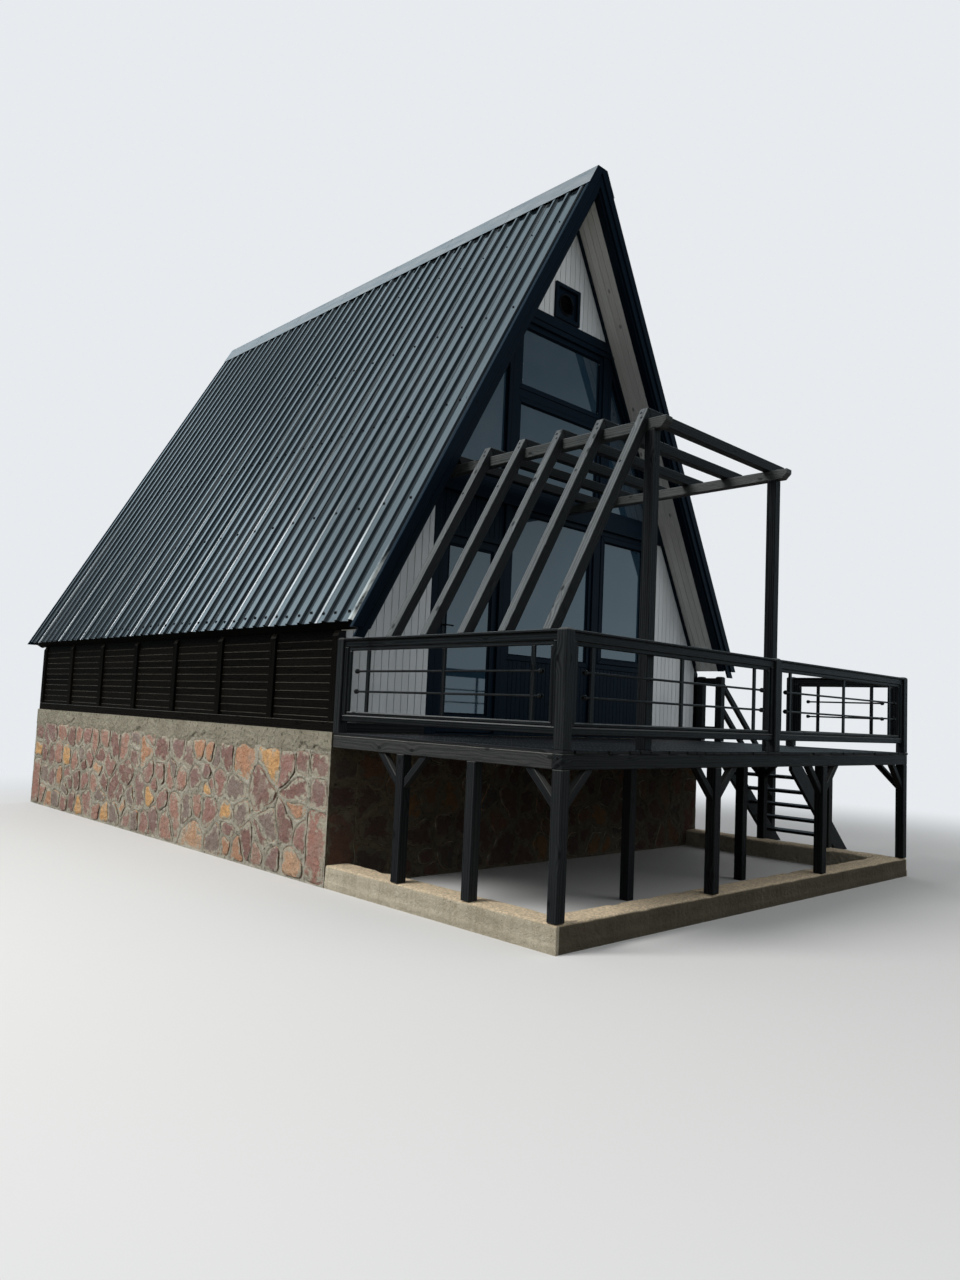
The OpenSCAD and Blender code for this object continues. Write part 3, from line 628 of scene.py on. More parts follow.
post_side = 0.1
half_post = half_house - post_side
frame_lo, frame_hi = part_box("side_frame_right")
panel_lo, panel_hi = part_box("side_panels_right")
bay_count = 7
bay_step = (frame_hi.y - frame_lo.y - post_side) / bay_count
plate_w = 0.05
board_h, lowest_joint, joints = 0.085, 0.047, 10
brown_black = timber_finish("brown_black_stain", (0.0010, 0.0009, 0.0008), (0.0060, 0.0050, 0.0038), 0.26,
                            0.35, 0.0004, dust_and_sheen=(0.13, 0.12, 0.10), dust_and_sheen_share=0.5, gloss=0.10)
black_stain = timber_finish("black_stain", (0.0030, 0.0037, 0.0042), (0.022, 0.0245, 0.0260), 0.34, 0.6,
                            0.0012, dust_and_sheen=(0.19, 0.19, 0.175), dust_and_sheen_share=0.5, gloss=0.09)
roof_angle = math.radians(61.3)
slope = math.tan(roof_angle)
rib_h = 0.035
eave_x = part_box("roof_sheet_right")[1].x
eave_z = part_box("roof_sheet_right")[0].z + rib_h * math.cos(roof_angle)
ridge_z = eave_z + eave_x * slope
lining = 0.2002


def roof_height(x, depth):
    """Height of the plane that lies depth below the rib tops, x from the ridge line."""
    return ridge_z - abs(x) * slope - depth / math.cos(roof_angle)


def roof_reach(z, depth):
    return (ridge_z - depth / math.cos(roof_angle) - z) / slope


for side, sign in (("left", -1), ("right", 1)):
    rng = random.Random("knee wall " + side)
    timbers, boards = Stock(), Stock()
    inner, outer = sorted((sign * half_post, sign * half_house))
    y0, y1 = frame_lo.y, frame_hi.y
    box_bar(timbers, (inner, y0, floor_z), (outer, y1, floor_z + post_side), 0.005, rng)
    square = [(0, 0), (post_side, 0), (post_side, post_side), (0, post_side)]
    upright = (Vector((0, 0, 1)), Vector((1, 0, 0)), Vector((0, 1, 0)))
    lengthways = (Vector((0, 1, 0)), Vector((1, 0, 0)), Vector((0, 0, 1)))
    foot = floor_z + post_side
    for i in range(bay_count + 1):
        cut_bar(timbers, square, Vector((inner, y0 + i * bay_step, foot)), upright,
                roof_height(inner, lining) - foot, 0.005, rng, slopes=((0, 0), (-sign * slope, 0)))
    plate_x = sign * (half_post + plate_w)
    plate_lo = roof_height(half_house, lining) - 0.1
    plate = [(x, z) for x, z in ((sign * half_post, plate_lo), (plate_x, plate_lo),
                                 (plate_x, roof_height(plate_x, lining)),
                                 (sign * half_post, roof_height(half_post, lining)))]
    levels = [panel_lo.z] + [panel_lo.z + lowest_joint + k * board_h for k in range(joints)] + [panel_hi.z]
    near_x, far_x = sign * panel_lo.x, sign * panel_hi.x
    under_roof = Vector((sign * half_house, roof_height(half_house, lining + 0.0002)))
    for i in range(bay_count):
        y = y0 + i * bay_step + post_side
        cut_bar(timbers, plate, Vector((0, y, 0)), lengthways, bay_step - post_side, 0.004, rng)
        for z0, z1 in zip(levels, levels[1:]):
            sink = sign * rng.uniform(0, 0.0025)
            section = [Vector(p) for p in ((near_x, z0 + 0.0012), (far_x - sink, z0 + 0.0012),
                                           (far_x - sink, z1), (near_x, z1))]
            section = clipped(section, under_roof, Vector((sign * slope, 1)))
            cut_bar(boards, section, Vector((0, y + 0.0003, 0)), lengthways, bay_step - post_side - 0.0006,
                    0.006, rng)
    timbers.piece("knee_wall_timbers_" + side, [brown_black], "black_timber", replaces=["side_frame_" + side])
    boards.piece("knee_wall_boards_" + side, [brown_black], "dark_boards", replaces=["side_panels_" + side])


# Gable boarding
# Upright tongued and grooved boards, painted off-white, nailed to the studs of both end walls.
# Each is 93 mm wide with a V joint; behind them the wall is one thickness of studs and lining.
white_board = 0.093
board_thick = 0.022
joint_gap = 0.0055
gable_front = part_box("front_wall_left")[0].y
gable_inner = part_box("front_wall_left")[1].y
gable_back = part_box("back_wall_lower")[1].y
band_lo, band_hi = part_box("storey_bands")[0].z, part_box("upper_floor")[1].z
header_lo, header_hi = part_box("header_band")[0].z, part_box("header_band")[1].z
post_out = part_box("front_wall_right")[0].x
vent_lo, vent_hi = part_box("gable_vent")

white_paint, white_shader, node = finish("white_paint", (0.52, 0.53, 0.54), 0.5)
brushed = cloud(node, stretched(node, marked(node, "grain"), (0.04, 1, 1)), 120, 7, 0.3, 0.7, 0.7)
paint = blend(node, cloud(node, place_of(node), 1.1, 5), (0.72, 0.77, 0.80), (0.82, 0.86, 0.88))
paint = blend(node, brushed, paint, (0.90, 0.89, 0.88), "MULTIPLY")
each_board = spread(node, marked(node, "board"), to=(0, 0.5))
feed(white_shader, "Base Color", blend(node, each_board, paint, (0.86, 0.85, 0.83), "MULTIPLY"))
relief(node, white_shader, brushed, 0.0012)


def mottled(name, first, second, roughness, scale, metallic=0.0, **others):
    """A plain coating, uneven in colour and in gloss."""
    made, shader, node = finish(name, first, roughness, metallic, **others)
    uneven = cloud(node, place_of(node), scale)
    feed(shader, "Base Color", blend(node, uneven, first, second))
    feed(shader, "Roughness", spread(node, uneven, to=(roughness - 0.05, roughness + 0.08)))
    return made, shader, node


inner_lining = mottled("pale_lining", (0.40, 0.34, 0.28), (0.45, 0.39, 0.33), 0.7, 6)[0]
sole_h = 0.1


def end_faces(count, rings):
    """The faces that close a row of rings at both ends."""
    return [list(range(count)), [(rings - 1) * count + i for i in range(count)]]


def slab(stock, outline, place, low, high, chamfer, rng, way=(0, 1), kind=0):
    """A flat board of a convex outline between two depths, chamfered at the higher, its grain along way."""
    outline = [Vector(p) for p in outline]
    way = Vector(way).normalized()
    count = len(outline)
    face = inset(outline, chamfer)
    offset = grain_start(rng)
    points, grain = [], []
    for ring, depth in ((outline, low), (outline, high - chamfer), (face, high)):
        for p in ring:
            points.append(place(p.x, p.y, depth))
            grain.append(Vector((p.dot(way), way.x * p.y - way.y * p.x, depth)) + offset)
    stock.add(points, end_faces(count, 3) + hoops(count, 0, 2), grain, rng.random(), kind)


def strip(outline, u0, u1):
    """The part of a convex outline between two places across it."""
    part = clipped([Vector(p) for p in outline], Vector((u1, 0)), Vector((1, 0)))
    return clipped(part, Vector((u0, 0)), Vector((-1, 0))) if len(part) > 2 else part


def layer(outline, v0, v1):
    part = clipped([Vector(p) for p in outline], Vector((0, v1)), Vector((0, 1)))
    return clipped(part, Vector((0, v0)), Vector((0, -1))) if len(part) > 2 else part


def gable_outline(x0, x1, z0, z1, depth=lining):
    """The wall between two places and two heights, up to a depth in the roof."""
    reach = roof_reach(0, depth)
    whole = [Vector(p) for p in ((-reach, 0), (reach, 0), (0, roof_height(0, depth)))]
    return layer(strip(whole, x0, x1), z0, z1)


def on_front(u, v, h):
    return (u, gable_front - h, v)


def on_back(u, v, h):
    return (-u, gable_back + h, v)


def board_wall(name, outline, place, replaces, hole=None):
    """Boards over an outline, cut round a hole, with the wall's own thickness behind them."""
    rng = random.Random(name)
    stock = Stock()
    low, high = min(p.x for p in outline), max(p.x for p in outline)
    foot = min(p.y for p in outline)
    if foot == floor_z:
        sole = layer(outline, foot, foot + sole_h)
        slab(stock, sole, place, -board_thick, 0, 0.004, rng, way=(1, 0), kind=2)
        foot += sole_h + 0.002
    first = math.floor((low / white_board) - 0.5)
    for k in range(first, math.ceil(high / white_board) + 1):
        u0, u1 = (k + 0.5) * white_board + joint_gap / 2, (k + 1.5) * white_board - joint_gap / 2
        parts = [layer(strip(outline, u0, u1), foot, 99)]
        if hole and hole[0] < (u0 + u1) / 2 < hole[1] and parts[0]:
            parts = [layer(parts[0], -1, hole[2]), layer(parts[0], hole[3], 99)]
        for part in parts:
            if len(part) > 2 and max(p.x for p in part) - min(p.x for p in part) > 0.012:
                proud = -rng.uniform(0, 0.001)
                slab(stock, part, place, -board_thick, proud, 0.0035, rng)
    walls = [outline]
    if hole:
        walls = [strip(outline, -9, hole[0]), strip(outline, hole[1], 9),
                 layer(strip(outline, hole[0], hole[1]), 0, hole[2]),
                 layer(strip(outline, hole[0], hole[1]), hole[3], 99)]
    for wall in walls:
        if len(wall) > 2:
            slab(stock, wall, place, gable_front - gable_inner, -board_thick - 0.0005, 0.0001, rng, kind=1)
    stock.piece(name, [white_paint, inner_lining, black_stain], "white_boards", replaces=replaces)


board_wall("boarding_front_right", gable_outline(post_out, half_post, floor_z, band_lo), on_front,
           ["front_wall_right"])
board_wall("boarding_front_left", gable_outline(-half_post, -post_out, floor_z, band_lo), on_front,
           ["front_wall_left"])
board_wall("boarding_front_peak", gable_outline(-half_house, half_house, header_hi, ridge_z), on_front,
           ["front_wall_peak"], (vent_lo.x, vent_hi.x, vent_lo.z, vent_hi.z))
back_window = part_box("back_window_frames")
lower_light = (back_window[0].x, back_window[1].x, floor_z + 0.9, floor_z + 2.3)
upper_light = (back_window[0].x, back_window[1].x, band_hi + 0.6, band_hi + 1.6)
board_wall("boarding_back_lower", gable_outline(-half_post, half_post, floor_z, band_lo), on_back,
           ["back_wall_lower"], lower_light)
board_wall("boarding_back_upper", gable_outline(-half_house, half_house, band_hi, ridge_z), on_back,
           ["back_wall_upper"], upper_light)


# Posts and bands of the gables
# Planed timber under smooth blue-black paint: storey posts, a deep band at the upper floor on both ends,
# and a stepped band above the upper window. The bands' faces stand 25 mm proud of the wall.
black_paint = timber_finish("blue_black_paint", (0.0018, 0.0062, 0.0130), (0.0036, 0.0110, 0.0205), 0.34,
                            0.05, 0.0004, lines=0.3, gloss=0.08)
band_proud = gable_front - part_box("header_band")[0].y
trim_depth = 0.26
rng = random.Random("posts and bands")

uprights = Stock()
door_lo, door_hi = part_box("door_frame")
wall_post = 0.095
centre_bay = (door_hi.x + wall_post, 0.71)
right_bay = (centre_bay[1] + wall_post, -door_lo.x)
for x in (-post_out, door_hi.x, centre_bay[1], right_bay[1]):
    box_bar(uprights, (x, gable_front, floor_z), (x + wall_post, gable_inner, band_lo), 0.004, rng)
upper_in, upper_out = 0.79, 0.905
for low, high in ((-upper_out, -upper_in), (upper_in, upper_out)):
    box_bar(uprights, (low, gable_front, band_hi), (high, gable_inner, header_lo), 0.004, rng)
uprights.piece("gable_posts", [black_paint], "black_frame", replaces=["front_posts"])


def band(stock, place, z0, z1, lip):
    """A band's face board with a stepped lip along its foot, and the beam behind it."""
    for foot, head, depth, low, high, chamfer in (
            (z0, z1, lining, gable_front - gable_inner, -0.0002, 0.0001),
            (z0 + lip, z1, trim_depth, 0, band_proud, 0.004),
            (z0, z0 + lip - 0.003, trim_depth, 0, band_proud - 0.010, 0.003)):
        if head > foot:
            outline = gable_outline(-half_house, half_house, foot, head, depth)
            slab(stock, outline, place, low, high, chamfer, rng, way=(1, 0))


storeys, header = Stock(), Stock()
band(storeys, on_front, band_lo, band_hi, 0.0)
band(storeys, on_back, band_lo, band_hi, 0.0)
storeys.piece("storey_band_boards", [black_paint], "black_frame", replaces=["storey_bands"])
band(header, on_front, header_lo, header_hi, 0.07)
header.piece("header_band_boards", [black_paint], "black_frame", replaces=["header_band"])


# Dark panels
# Blue-black grooved boarding under the two lower windows and over the door, set 30 mm back from the posts.
# The boards are narrow and upright, with a fine V joint between them.
panels = Stock()
panel_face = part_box("dark_panels")[0].y
panel_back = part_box("dark_panels")[1].y
window_lo = floor_z + 0.89
rng = random.Random("dark panels")


def on_panel(u, v, h):
    return (u, panel_face - h, v)


for x0, x1, z0, z1 in ((door_lo.x, door_hi.x, door_hi.z, band_lo), (*centre_bay, floor_z, window_lo),
                       (*right_bay, floor_z, window_lo)):
    count = round((x1 - x0) / 0.075)
    step = (x1 - x0) / count
    for k in range(count):
        u0, u1 = x0 + k * step + 0.001, x0 + (k + 1) * step - 0.001
        outline = [(u0, z0), (u1, z0), (u1, z1), (u0, z1)]
        slab(panels, outline, on_panel, -0.018, -rng.uniform(0, 0.0006), 0.004, rng)
    backing = [(x0, z0), (x1, z0), (x1, z1), (x0, z1)]
    slab(panels, backing, on_panel, panel_face - panel_back, -0.019, 0.0001, rng)
panels.piece("dark_panel_boards", [black_paint], "black_frame", replaces=["dark_panels"])


# Windows
# Painted timber frames 80 mm deep, mitred at the corners, with glazing beads round the panes.
# The right window has a thick opening sash; triangular side lights fill the slopes of the upper floor.
frame_face, frame_rear = -0.18, -0.1
frame_w = 0.06


def surround(stock, outer, inner, place, low, high, chamfer, rng):
    """A mitred frame between two outlines with the same corners."""
    outer, inner = [Vector(p) for p in outer], [Vector(p) for p in inner]
    count = len(outer)
    for i in range(count):
        j = (i + 1) % count
        member = [outer[i], outer[j], inner[j], inner[i]]
        slab(stock, member, place, low, high, chamfer, rng, way=outer[j] - outer[i])


def rectangle(x0, x1, z0, z1, by=0.0, foot=None, head=None):
    foot, head = by if foot is None else foot, by if head is None else head
    return [(x0 + by, z0 + foot), (x1 - by, z0 + foot), (x1 - by, z1 - head), (x0 + by, z1 - head)]


def window(stock, corners, place, face, depth, width, foot=None, head=None, sash=0.0):
    """A frame, an opening sash where there is one, and the beads that hold the pane."""
    outer = rectangle(*corners)
    edge = width - sash
    surround(stock, outer, rectangle(*corners, edge, foot, head), place, face - depth, face, 0.004, rng)
    if sash:
        for by, low, high, chamfer in ((edge + 0.003, face - depth, face + 0.008, 0.006),
                                       (width - 0.016, face - depth * 0.6, face + 0.0115, 0.003)):
            surround(stock, rectangle(*corners, by), rectangle(*corners, width), place, low, high, chamfer,
                     rng)
    bead_outer = rectangle(*corners, width, foot, head)
    grow = 0.013
    bead_inner = [(x + (grow if x < (corners[0] + corners[1]) / 2 else -grow),
                   z + (grow if z < (corners[2] + corners[3]) / 2 else -grow)) for x, z in bead_outer]
    surround(stock, bead_outer, bead_inner, place, face - depth / 2, face - 0.013, 0.006, rng)
    surround(stock, bead_outer, bead_inner, place, face - depth + 0.012, face - depth / 2, 0.001, rng)


frames = Stock()
rng = random.Random("window frames")
face = gable_front - frame_face
depth = frame_rear - frame_face
window(frames, (*centre_bay, window_lo, band_lo), on_front, face, depth, frame_w)
window(frames, (*right_bay, window_lo, band_lo), on_front, face, depth, 0.14, sash=0.075)
transom_lo, transom_hi, upper_rail = floor_z + 4.005, floor_z + 4.23, 0.075
window(frames, (-upper_in, upper_in, band_hi, transom_lo + frame_w), on_front, face, depth, frame_w)
window(frames, (-upper_in, upper_in, transom_hi - frame_w, header_lo), on_front, face, depth, frame_w,
       foot=frame_w, head=upper_rail)
transom = rectangle(-upper_in, upper_in, transom_lo + frame_w + 0.002, transom_hi - frame_w - 0.002)
slab(frames, transom, on_front, face - depth, face - 0.006, 0.003, rng, way=(1, 0))


def side_light(by):
    """The outline of a triangular light, inset from its bay."""
    x0, z0, depth = upper_out + by, band_hi + by, 0.26 + by
    return [(x0, z0), (roof_reach(z0, depth), z0), (x0, roof_height(x0, depth))]


bay = [(upper_out, band_hi), (roof_reach(band_hi, lining), band_hi), (upper_out, header_lo)]
for sign in (1, -1):
    outer, middle, inner = ([(x * sign, z) for x, z in outline]
                            for outline in (bay, side_light(frame_w), side_light(frame_w + 0.012)))
    surround(frames, outer, middle, on_front, gable_front - gable_inner, 0, 0.004, rng)
    surround(frames, middle, inner, on_front, -0.055, -0.034, 0.005, rng)
frames.piece("front_window_joinery", [black_paint], "black_frame", replaces=["front_window_frames"])

back_frames = Stock()
for light in (lower_light, upper_light):
    window(back_frames, light, on_back, -0.02, 0.08, frame_w)
back_frames.piece("back_window_joinery", [black_paint], "black_frame", replaces=["back_window_frames"])

pane, pane_shader, node = finish("window_glass", (0.03, 0.06, 0.09), 0.03, Transmission_Weight=0.2,
                                 Specular_IOR_Level=1.0, Coat_Weight=1.0, IOR=1.5)
film_on = cloud(node, place_of(node), 2.4, 5, 0.4, 0.75)
feed(pane_shader, "Base Color", blend(node, film_on, (0.022, 0.055, 0.090), (0.040, 0.075, 0.105)))
feed(pane_shader, "Roughness", spread(node, film_on, to=(0.02, 0.07)))
recoat(pane, "fixed_glass", "door_glass")


# Door
# A glazed leaf in a painted frame, hung on three knuckle hinges on its right edge; it opens inwards.
# Stiles and rails are 100 mm wide, the bottom rail 200 mm, with glazing beads on both faces.
def worked(name, sources, chamfer, material, body="house"):
    """The frame's own pieces with their arrises worked off and their grain laid along them."""
    rng = random.Random(name)
    work = bmesh.new()
    for source in sources:
        work.from_mesh(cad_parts[source].data)
    bmesh.ops.remove_doubles(work, verts=work.verts, dist=0.00002)
    bmesh.ops.dissolve_limit(work, angle_limit=math.radians(0.5), verts=work.verts, edges=work.edges)
    work.normal_update()
    sharp = [e for e in work.edges if e.is_manifold and e.calc_face_angle(0) > math.radians(25)]
    bmesh.ops.bevel(work, geom=sharp, offset=chamfer, segments=1, affect="EDGES", clamp_overlap=True)
    work.edges.index_update()
    lay = work.verts.layers.float_vector.new("grain")
    shade = work.verts.layers.float.new("board")
    left = set(work.verts)
    for start in work.verts:
        if start not in left:
            continue
        group, queue = [], [start]
        left.discard(start)
        while queue:
            vert = queue.pop()
            group.append(vert)
            for edge in vert.link_edges:
                other = edge.other_vert(vert)
                if other in left:
                    left.discard(other)
                    queue.append(other)
        edges = sorted({e for vert in group for e in vert.link_edges},
                       key=lambda e: (-round(e.calc_length(), 4), e.index))
        runs = [e.verts[1].co - e.verts[0].co for e in edges]
        along = runs[0].normalized()
        side = next((r for r in runs if abs(r.normalized().dot(along)) < 0.3), Vector((1, 0, 0)))
        side = (side - along * side.dot(along)).normalized()
        up = along.cross(side)
        offset, number = grain_start(rng), rng.random()
        for vert in group:
            vert[lay] = Vector((vert.co.dot(along), vert.co.dot(side), vert.co.dot(up))) + offset
            vert[shade] = number
    mesh = bpy.data.meshes.new(name)
    work.to_mesh(mesh)
    work.free()
    return place_piece(name, mesh, [material], body, sources)


worked("door_lining", ["door_frame"], 0.0025, black_paint)
worked("door_stiles", ["door_leaf"], 0.0025, black_paint, "door")
leaf_lo, leaf_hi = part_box("door_leaf")
glass_lo, glass_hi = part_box("door_glass")
beads = Stock()
rng = random.Random("door beads")
leaf_face = leaf_lo.y
opening = (glass_lo.x, glass_hi.x, glass_lo.z, glass_hi.z)
for place, face in ((lambda u, v, h: (u, glass_lo.y - h, v), glass_lo.y - leaf_face - 0.006),
                    (lambda u, v, h: (u, glass_hi.y + h, v), glass_lo.y - leaf_face - 0.006)):
    surround(beads, rectangle(*opening), rectangle(*opening, 0.014), place, 0, face, 0.006, rng)
beads.piece("door_beads", [black_paint], "black_frame", "door")

metal, metal_shader, node = mottled("black_satin_metal", (0.016, 0.016, 0.017), (0.026, 0.026, 0.027), 0.28,
                                    20, 0.85)
relief(node, metal_shader, cloud(node, place_of(node), 900, 3), 0.0002, 0.3)


def circle(at, radius, side, other, sides):
    """Points round a place, in the plane of two directions."""
    return [at + radius * (math.cos(t) * side + math.sin(t) * other)
            for t in (2 * math.pi * k / sides for k in range(sides))]


def tube(stock, path, radius, sides):
    """A round bar along a path, its ends eased."""
    path = [Vector(p) for p in path]
    heading = (path[1] - path[0]).normalized()
    side = heading.orthogonal().normalized()
    ease = min(radius * 0.4, 0.002)
    rings = [(path[0], heading, radius - ease), (path[0] + heading * ease, heading, radius)]
    for before, p, after in zip(path, path[1:], path[2:]):
        rings.append((p, ((after - p).normalized() + (p - before).normalized()).normalized(), radius))
    heading = (path[-1] - path[-2]).normalized()
    rings += [(path[-1] - heading * ease, heading, radius), (path[-1], heading, radius - ease)]
    points = []
    for at, step, size in rings:
        side = (side - step * side.dot(step)).normalized()
        points += circle(at, size, side, step.cross(side), sides)
    stock.add(points, end_faces(sides, len(rings)) + hoops(sides, 0, len(rings) - 1))


handle_x, handle_z = leaf_lo.x + 0.05, floor_z + 1.2
levers = Stock()
rng = random.Random("levers")
for face, out in ((leaf_lo.y, -1), (leaf_hi.y, 1)):
    def on_leaf(u, v, h, face=face, out=out):
        return (u, face + out * h, v)

    plate = [(handle_x + 0.02 * a, handle_z + 0.11 * b) for a, b in
             ((-0.6, -1), (0.6, -1), (1, -0.93), (1, 0.93), (0.6, 1), (-0.6, 1), (-1, 0.93), (-1, -0.93))]
    slab(levers, plate, on_leaf, 0, 0.008, 0.002, rng)
    bend = [(0, 0.006), (0, 0.030), (0.003, 0.038), (0.010, 0.043), (0.020, 0.0445), (0.118, 0.0435)]
    tube(levers, [on_leaf(handle_x + u, handle_z, h) for u, h in bend], 0.0085, 14)
    tube(levers, [on_leaf(handle_x, handle_z - 0.075, h) for h in (0.007, 0.012)], 0.009, 14)
levers.piece("lever_handles", [metal], "handle_metal", "door", replaces=["door_handle"], smooth=35)


# Gable vent
# A square black air outlet in the peak: a boxed frame, a recessed face and a round throat with a collar.
# Thin blades cross the throat.
worked("vent_box", ["gable_vent"], 0.003, black_paint)
vent = Stock()
centre = (vent_lo + vent_hi) / 2
recess = gable_front + 0.01
collar = circle(Vector((centre.x, recess - 0.006, centre.z)), 0.129, Vector((1, 0, 0)), Vector((0, 0, 1)), 48)
tube(vent, collar + collar[:1], 0.008, 8)
for k in range(-3, 4):
    height = centre.z + k * 0.032
    half = math.sqrt(0.12 ** 2 - (k * 0.032) ** 2)
    cut_bar(vent, [(-0.009, -0.001), (0.009, -0.001), (0.009, 0.001), (-0.009, 0.001)],
            Vector((centre.x - half, recess + 0.03, height)),
            (Vector((1, 0, 0)), Vector((0, 0.8, -0.6)), Vector((0, 0.6, 0.8))), 2 * half, 0.0004, rng)
vent.piece("vent_collar", [metal], "black_frame", smooth=35)


# Roof deck, soffits and bargeboards
# Thick boarded decks on the rafters, with greyed boards nailed along the slope under both overhangs.
# Two black boards, the outer one narrower, close each verge; a thin black trim meets the gable boarding.
roof_front, roof_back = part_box("roof_deck_right")[0].y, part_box("roof_deck_right")[1].y
sine, cosine = math.sin(roof_angle), math.cos(roof_angle)
ridge_flat = 0.18
ridge_top = ridge_z - ridge_flat / 2 * slope
slope_l = (eave_x - ridge_flat / 2) / cosine


def on_roof(sign, s, y, height):
    """A point s up the slope from the eaves and height above the plane of the rib tops."""
    return Vector((sign * (eave_x - s * cosine + height * sine), y, eave_z + s * sine + height * cosine))


# Painted shade: the roof decks are near black and almost without gloss, standing in for the shadow under the
# eaves.
deck_board, deck_shader, node = finish("roof_boards_painted_shadow", (0.008, 0.007, 0.007), 0.7,
                                       Specular_IOR_Level=0.03)
fibres = cloud(node, stretched(node, place_of(node), (1, 0.05, 1)), 60, 7)
feed(deck_shader, "Base Color", blend(node, fibres, (0.002, 0.002, 0.002), (0.005, 0.005, 0.005)))
relief(node, deck_shader, fibres, 0.002)
recoat(deck_board, "roof_deck_left", "roof_deck_right")

pale_wood = timber_finish("greyed_boards", (0.70, 0.69, 0.65), (0.90, 0.90, 0.86), 0.55, 0.30, lines=0.4)
soffits, edge_boards = Stock(), Stock()
rng = random.Random("soffits")
soffit_t, tucked, verge_w = 0.015, 0.03, 0.1


def soffit_board(stock, sign, y0, y1, thick):
    section = [(y0, -lining - thick), (y1, -lining - thick), (y1, -lining), (y0, -lining)]
    axes = (Vector((-sign * cosine, 0, sine)), Vector((0, 1, 0)), Vector((sign * sine, 0, cosine)))
    cut_bar(stock, section, on_roof(sign, tucked, 0, 0), axes, eave_x / cosine - tucked, 0.003, rng,
            slopes=((0, 0), (0, slope)))


for sign in (-1, 1):
    for verge, wall in ((roof_front, gable_front), (roof_back, gable_back)):
        inward = 1 if wall > verge else -1
        first = verge + inward * verge_w
        soffit_board(edge_boards, sign, *sorted((verge, first)), 0.02)
        count = round(abs(wall - first) / 0.09)
        for k in range(count):
            a, b = sorted((first + (wall - first) * k / count, first + (wall - first) * (k + 1) / count))
            soffit_board(soffits, sign, a + 0.0025, b - 0.0025, soffit_t)
soffits.piece("soffit_boarding", [pale_wood], "pale_boards", replaces=["soffit_boards"])
edge_boards.piece("soffit_edge_boards", [black_paint], "black_frame")

barge_t, strip_t = 0.025, 0.02
barge_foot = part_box("bargeboards")[0].z
strip_foot = barge_foot + 0.09
rear_foot = eave_z - 0.035
rng = random.Random("bargeboards")


def verge_outline(sign, top, bottom, foot):
    """A board along the verge between two depths, cut level at its foot and at the flat of the ridge."""
    past = 0.25
    outline = [Vector((eave_x + past * cosine - depth * sine, eave_z - past * sine - depth * cosine))
               for depth in (bottom, top)] + [Vector((0, roof_height(0, depth))) for depth in (top, bottom)]
    return [Vector((sign * p.x, p.y)) for p in layer(outline, foot, ridge_top)]


verges = Stock()
for sign in (-1, 1):
    way = (-sign * cosine, sine)
    for place, low, lower in ((lambda u, v, h: (u, roof_front - h, v), strip_foot, barge_foot),
                              (lambda u, v, h: (u, roof_back + h, v), rear_foot, rear_foot)):
        for top, bottom, foot, inner, outer, chamfer in (
                (0.003, 0.08, low, 0.0001, barge_t, 0.002), (0.0805, 0.19, lower, 0.0001, barge_t, 0.004),
                (0.0035, 0.105, low, barge_t, barge_t + strip_t, 0.004)):
            outline = verge_outline(sign, top, bottom, foot)
            slab(verges, outline, place, inner, outer, chamfer, rng, way)
verges.piece("verge_boards", [black_paint], "black_frame", replaces=["bargeboards"])

trims = Stock()
rng = random.Random("trims")
for sign in (-1, 1):
    outline = [(eave_x - 0.2152 * sine, eave_z - 0.2152 * cosine), (0, roof_height(0, 0.2152)),
               (0, roof_height(0, trim_depth)), (eave_x - trim_depth * sine, eave_z - trim_depth * cosine)]
    outline = [Vector((sign * p.x, p.y)) for p in strip(outline, -1, half_post)]
    for place in (on_front, on_back):
        slab(trims, outline, place, 0.0001, band_proud, 0.003, rng, (-sign * cosine, sine))
trims.piece("gable_edge_trim", [black_paint], "black_frame", replaces=["gable_trim"])


# Roof sheets
# Coated steel sheets in anthracite, each four ribs wide, laid side by side with one rib lapped over the next.
# They are screwed through the pans; their feet are dented here and there where they were handled.
rib_pitch, rib_foot, rib_top = 0.22, 0.040, 0.0175
sheet_lo, sheet_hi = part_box("roof_sheet_right")
sheet_run = sheet_hi.y - sheet_lo.y
rib_count = math.floor((sheet_run - 2 * rib_foot) / rib_pitch) + 1
first_rib = sheet_lo.y + (sheet_run - (rib_count - 1) * rib_pitch) / 2
sheet_end = slope_l - 0.06
pan, crest = 0.0025, 0.0325
lap_rise, steel = 0.0022, 0.0012
ribs_first_sheet, ribs_a_sheet = 3, 4
lip = 0.045

anthracite, steel_shader, node = finish("anthracite_coating", (0.006, 0.010, 0.013), 0.15,
                                        Specular_IOR_Level=1.0, Coat_Weight=1.0, Coat_Roughness=0.07)
lay = marked(node, "grain")
lying = split(node, lay)
streaks = cloud(node, stretched(node, lay, (0.25, 6, 1)), 2.5, 6, 0.35, 0.75)
tint = blend(node, marked(node, "board"), (0.0025, 0.005, 0.007), (0.004, 0.008, 0.011))
tint = blend(node, streaks, tint, (0.007, 0.011, 0.014))
scratches = cloud(node, stretched(node, lay, (0.10, 34, 1)), 2.0, 3, 0.52, 0.78)
tint = blend(node, scratches, tint, (0.085, 0.094, 0.096))
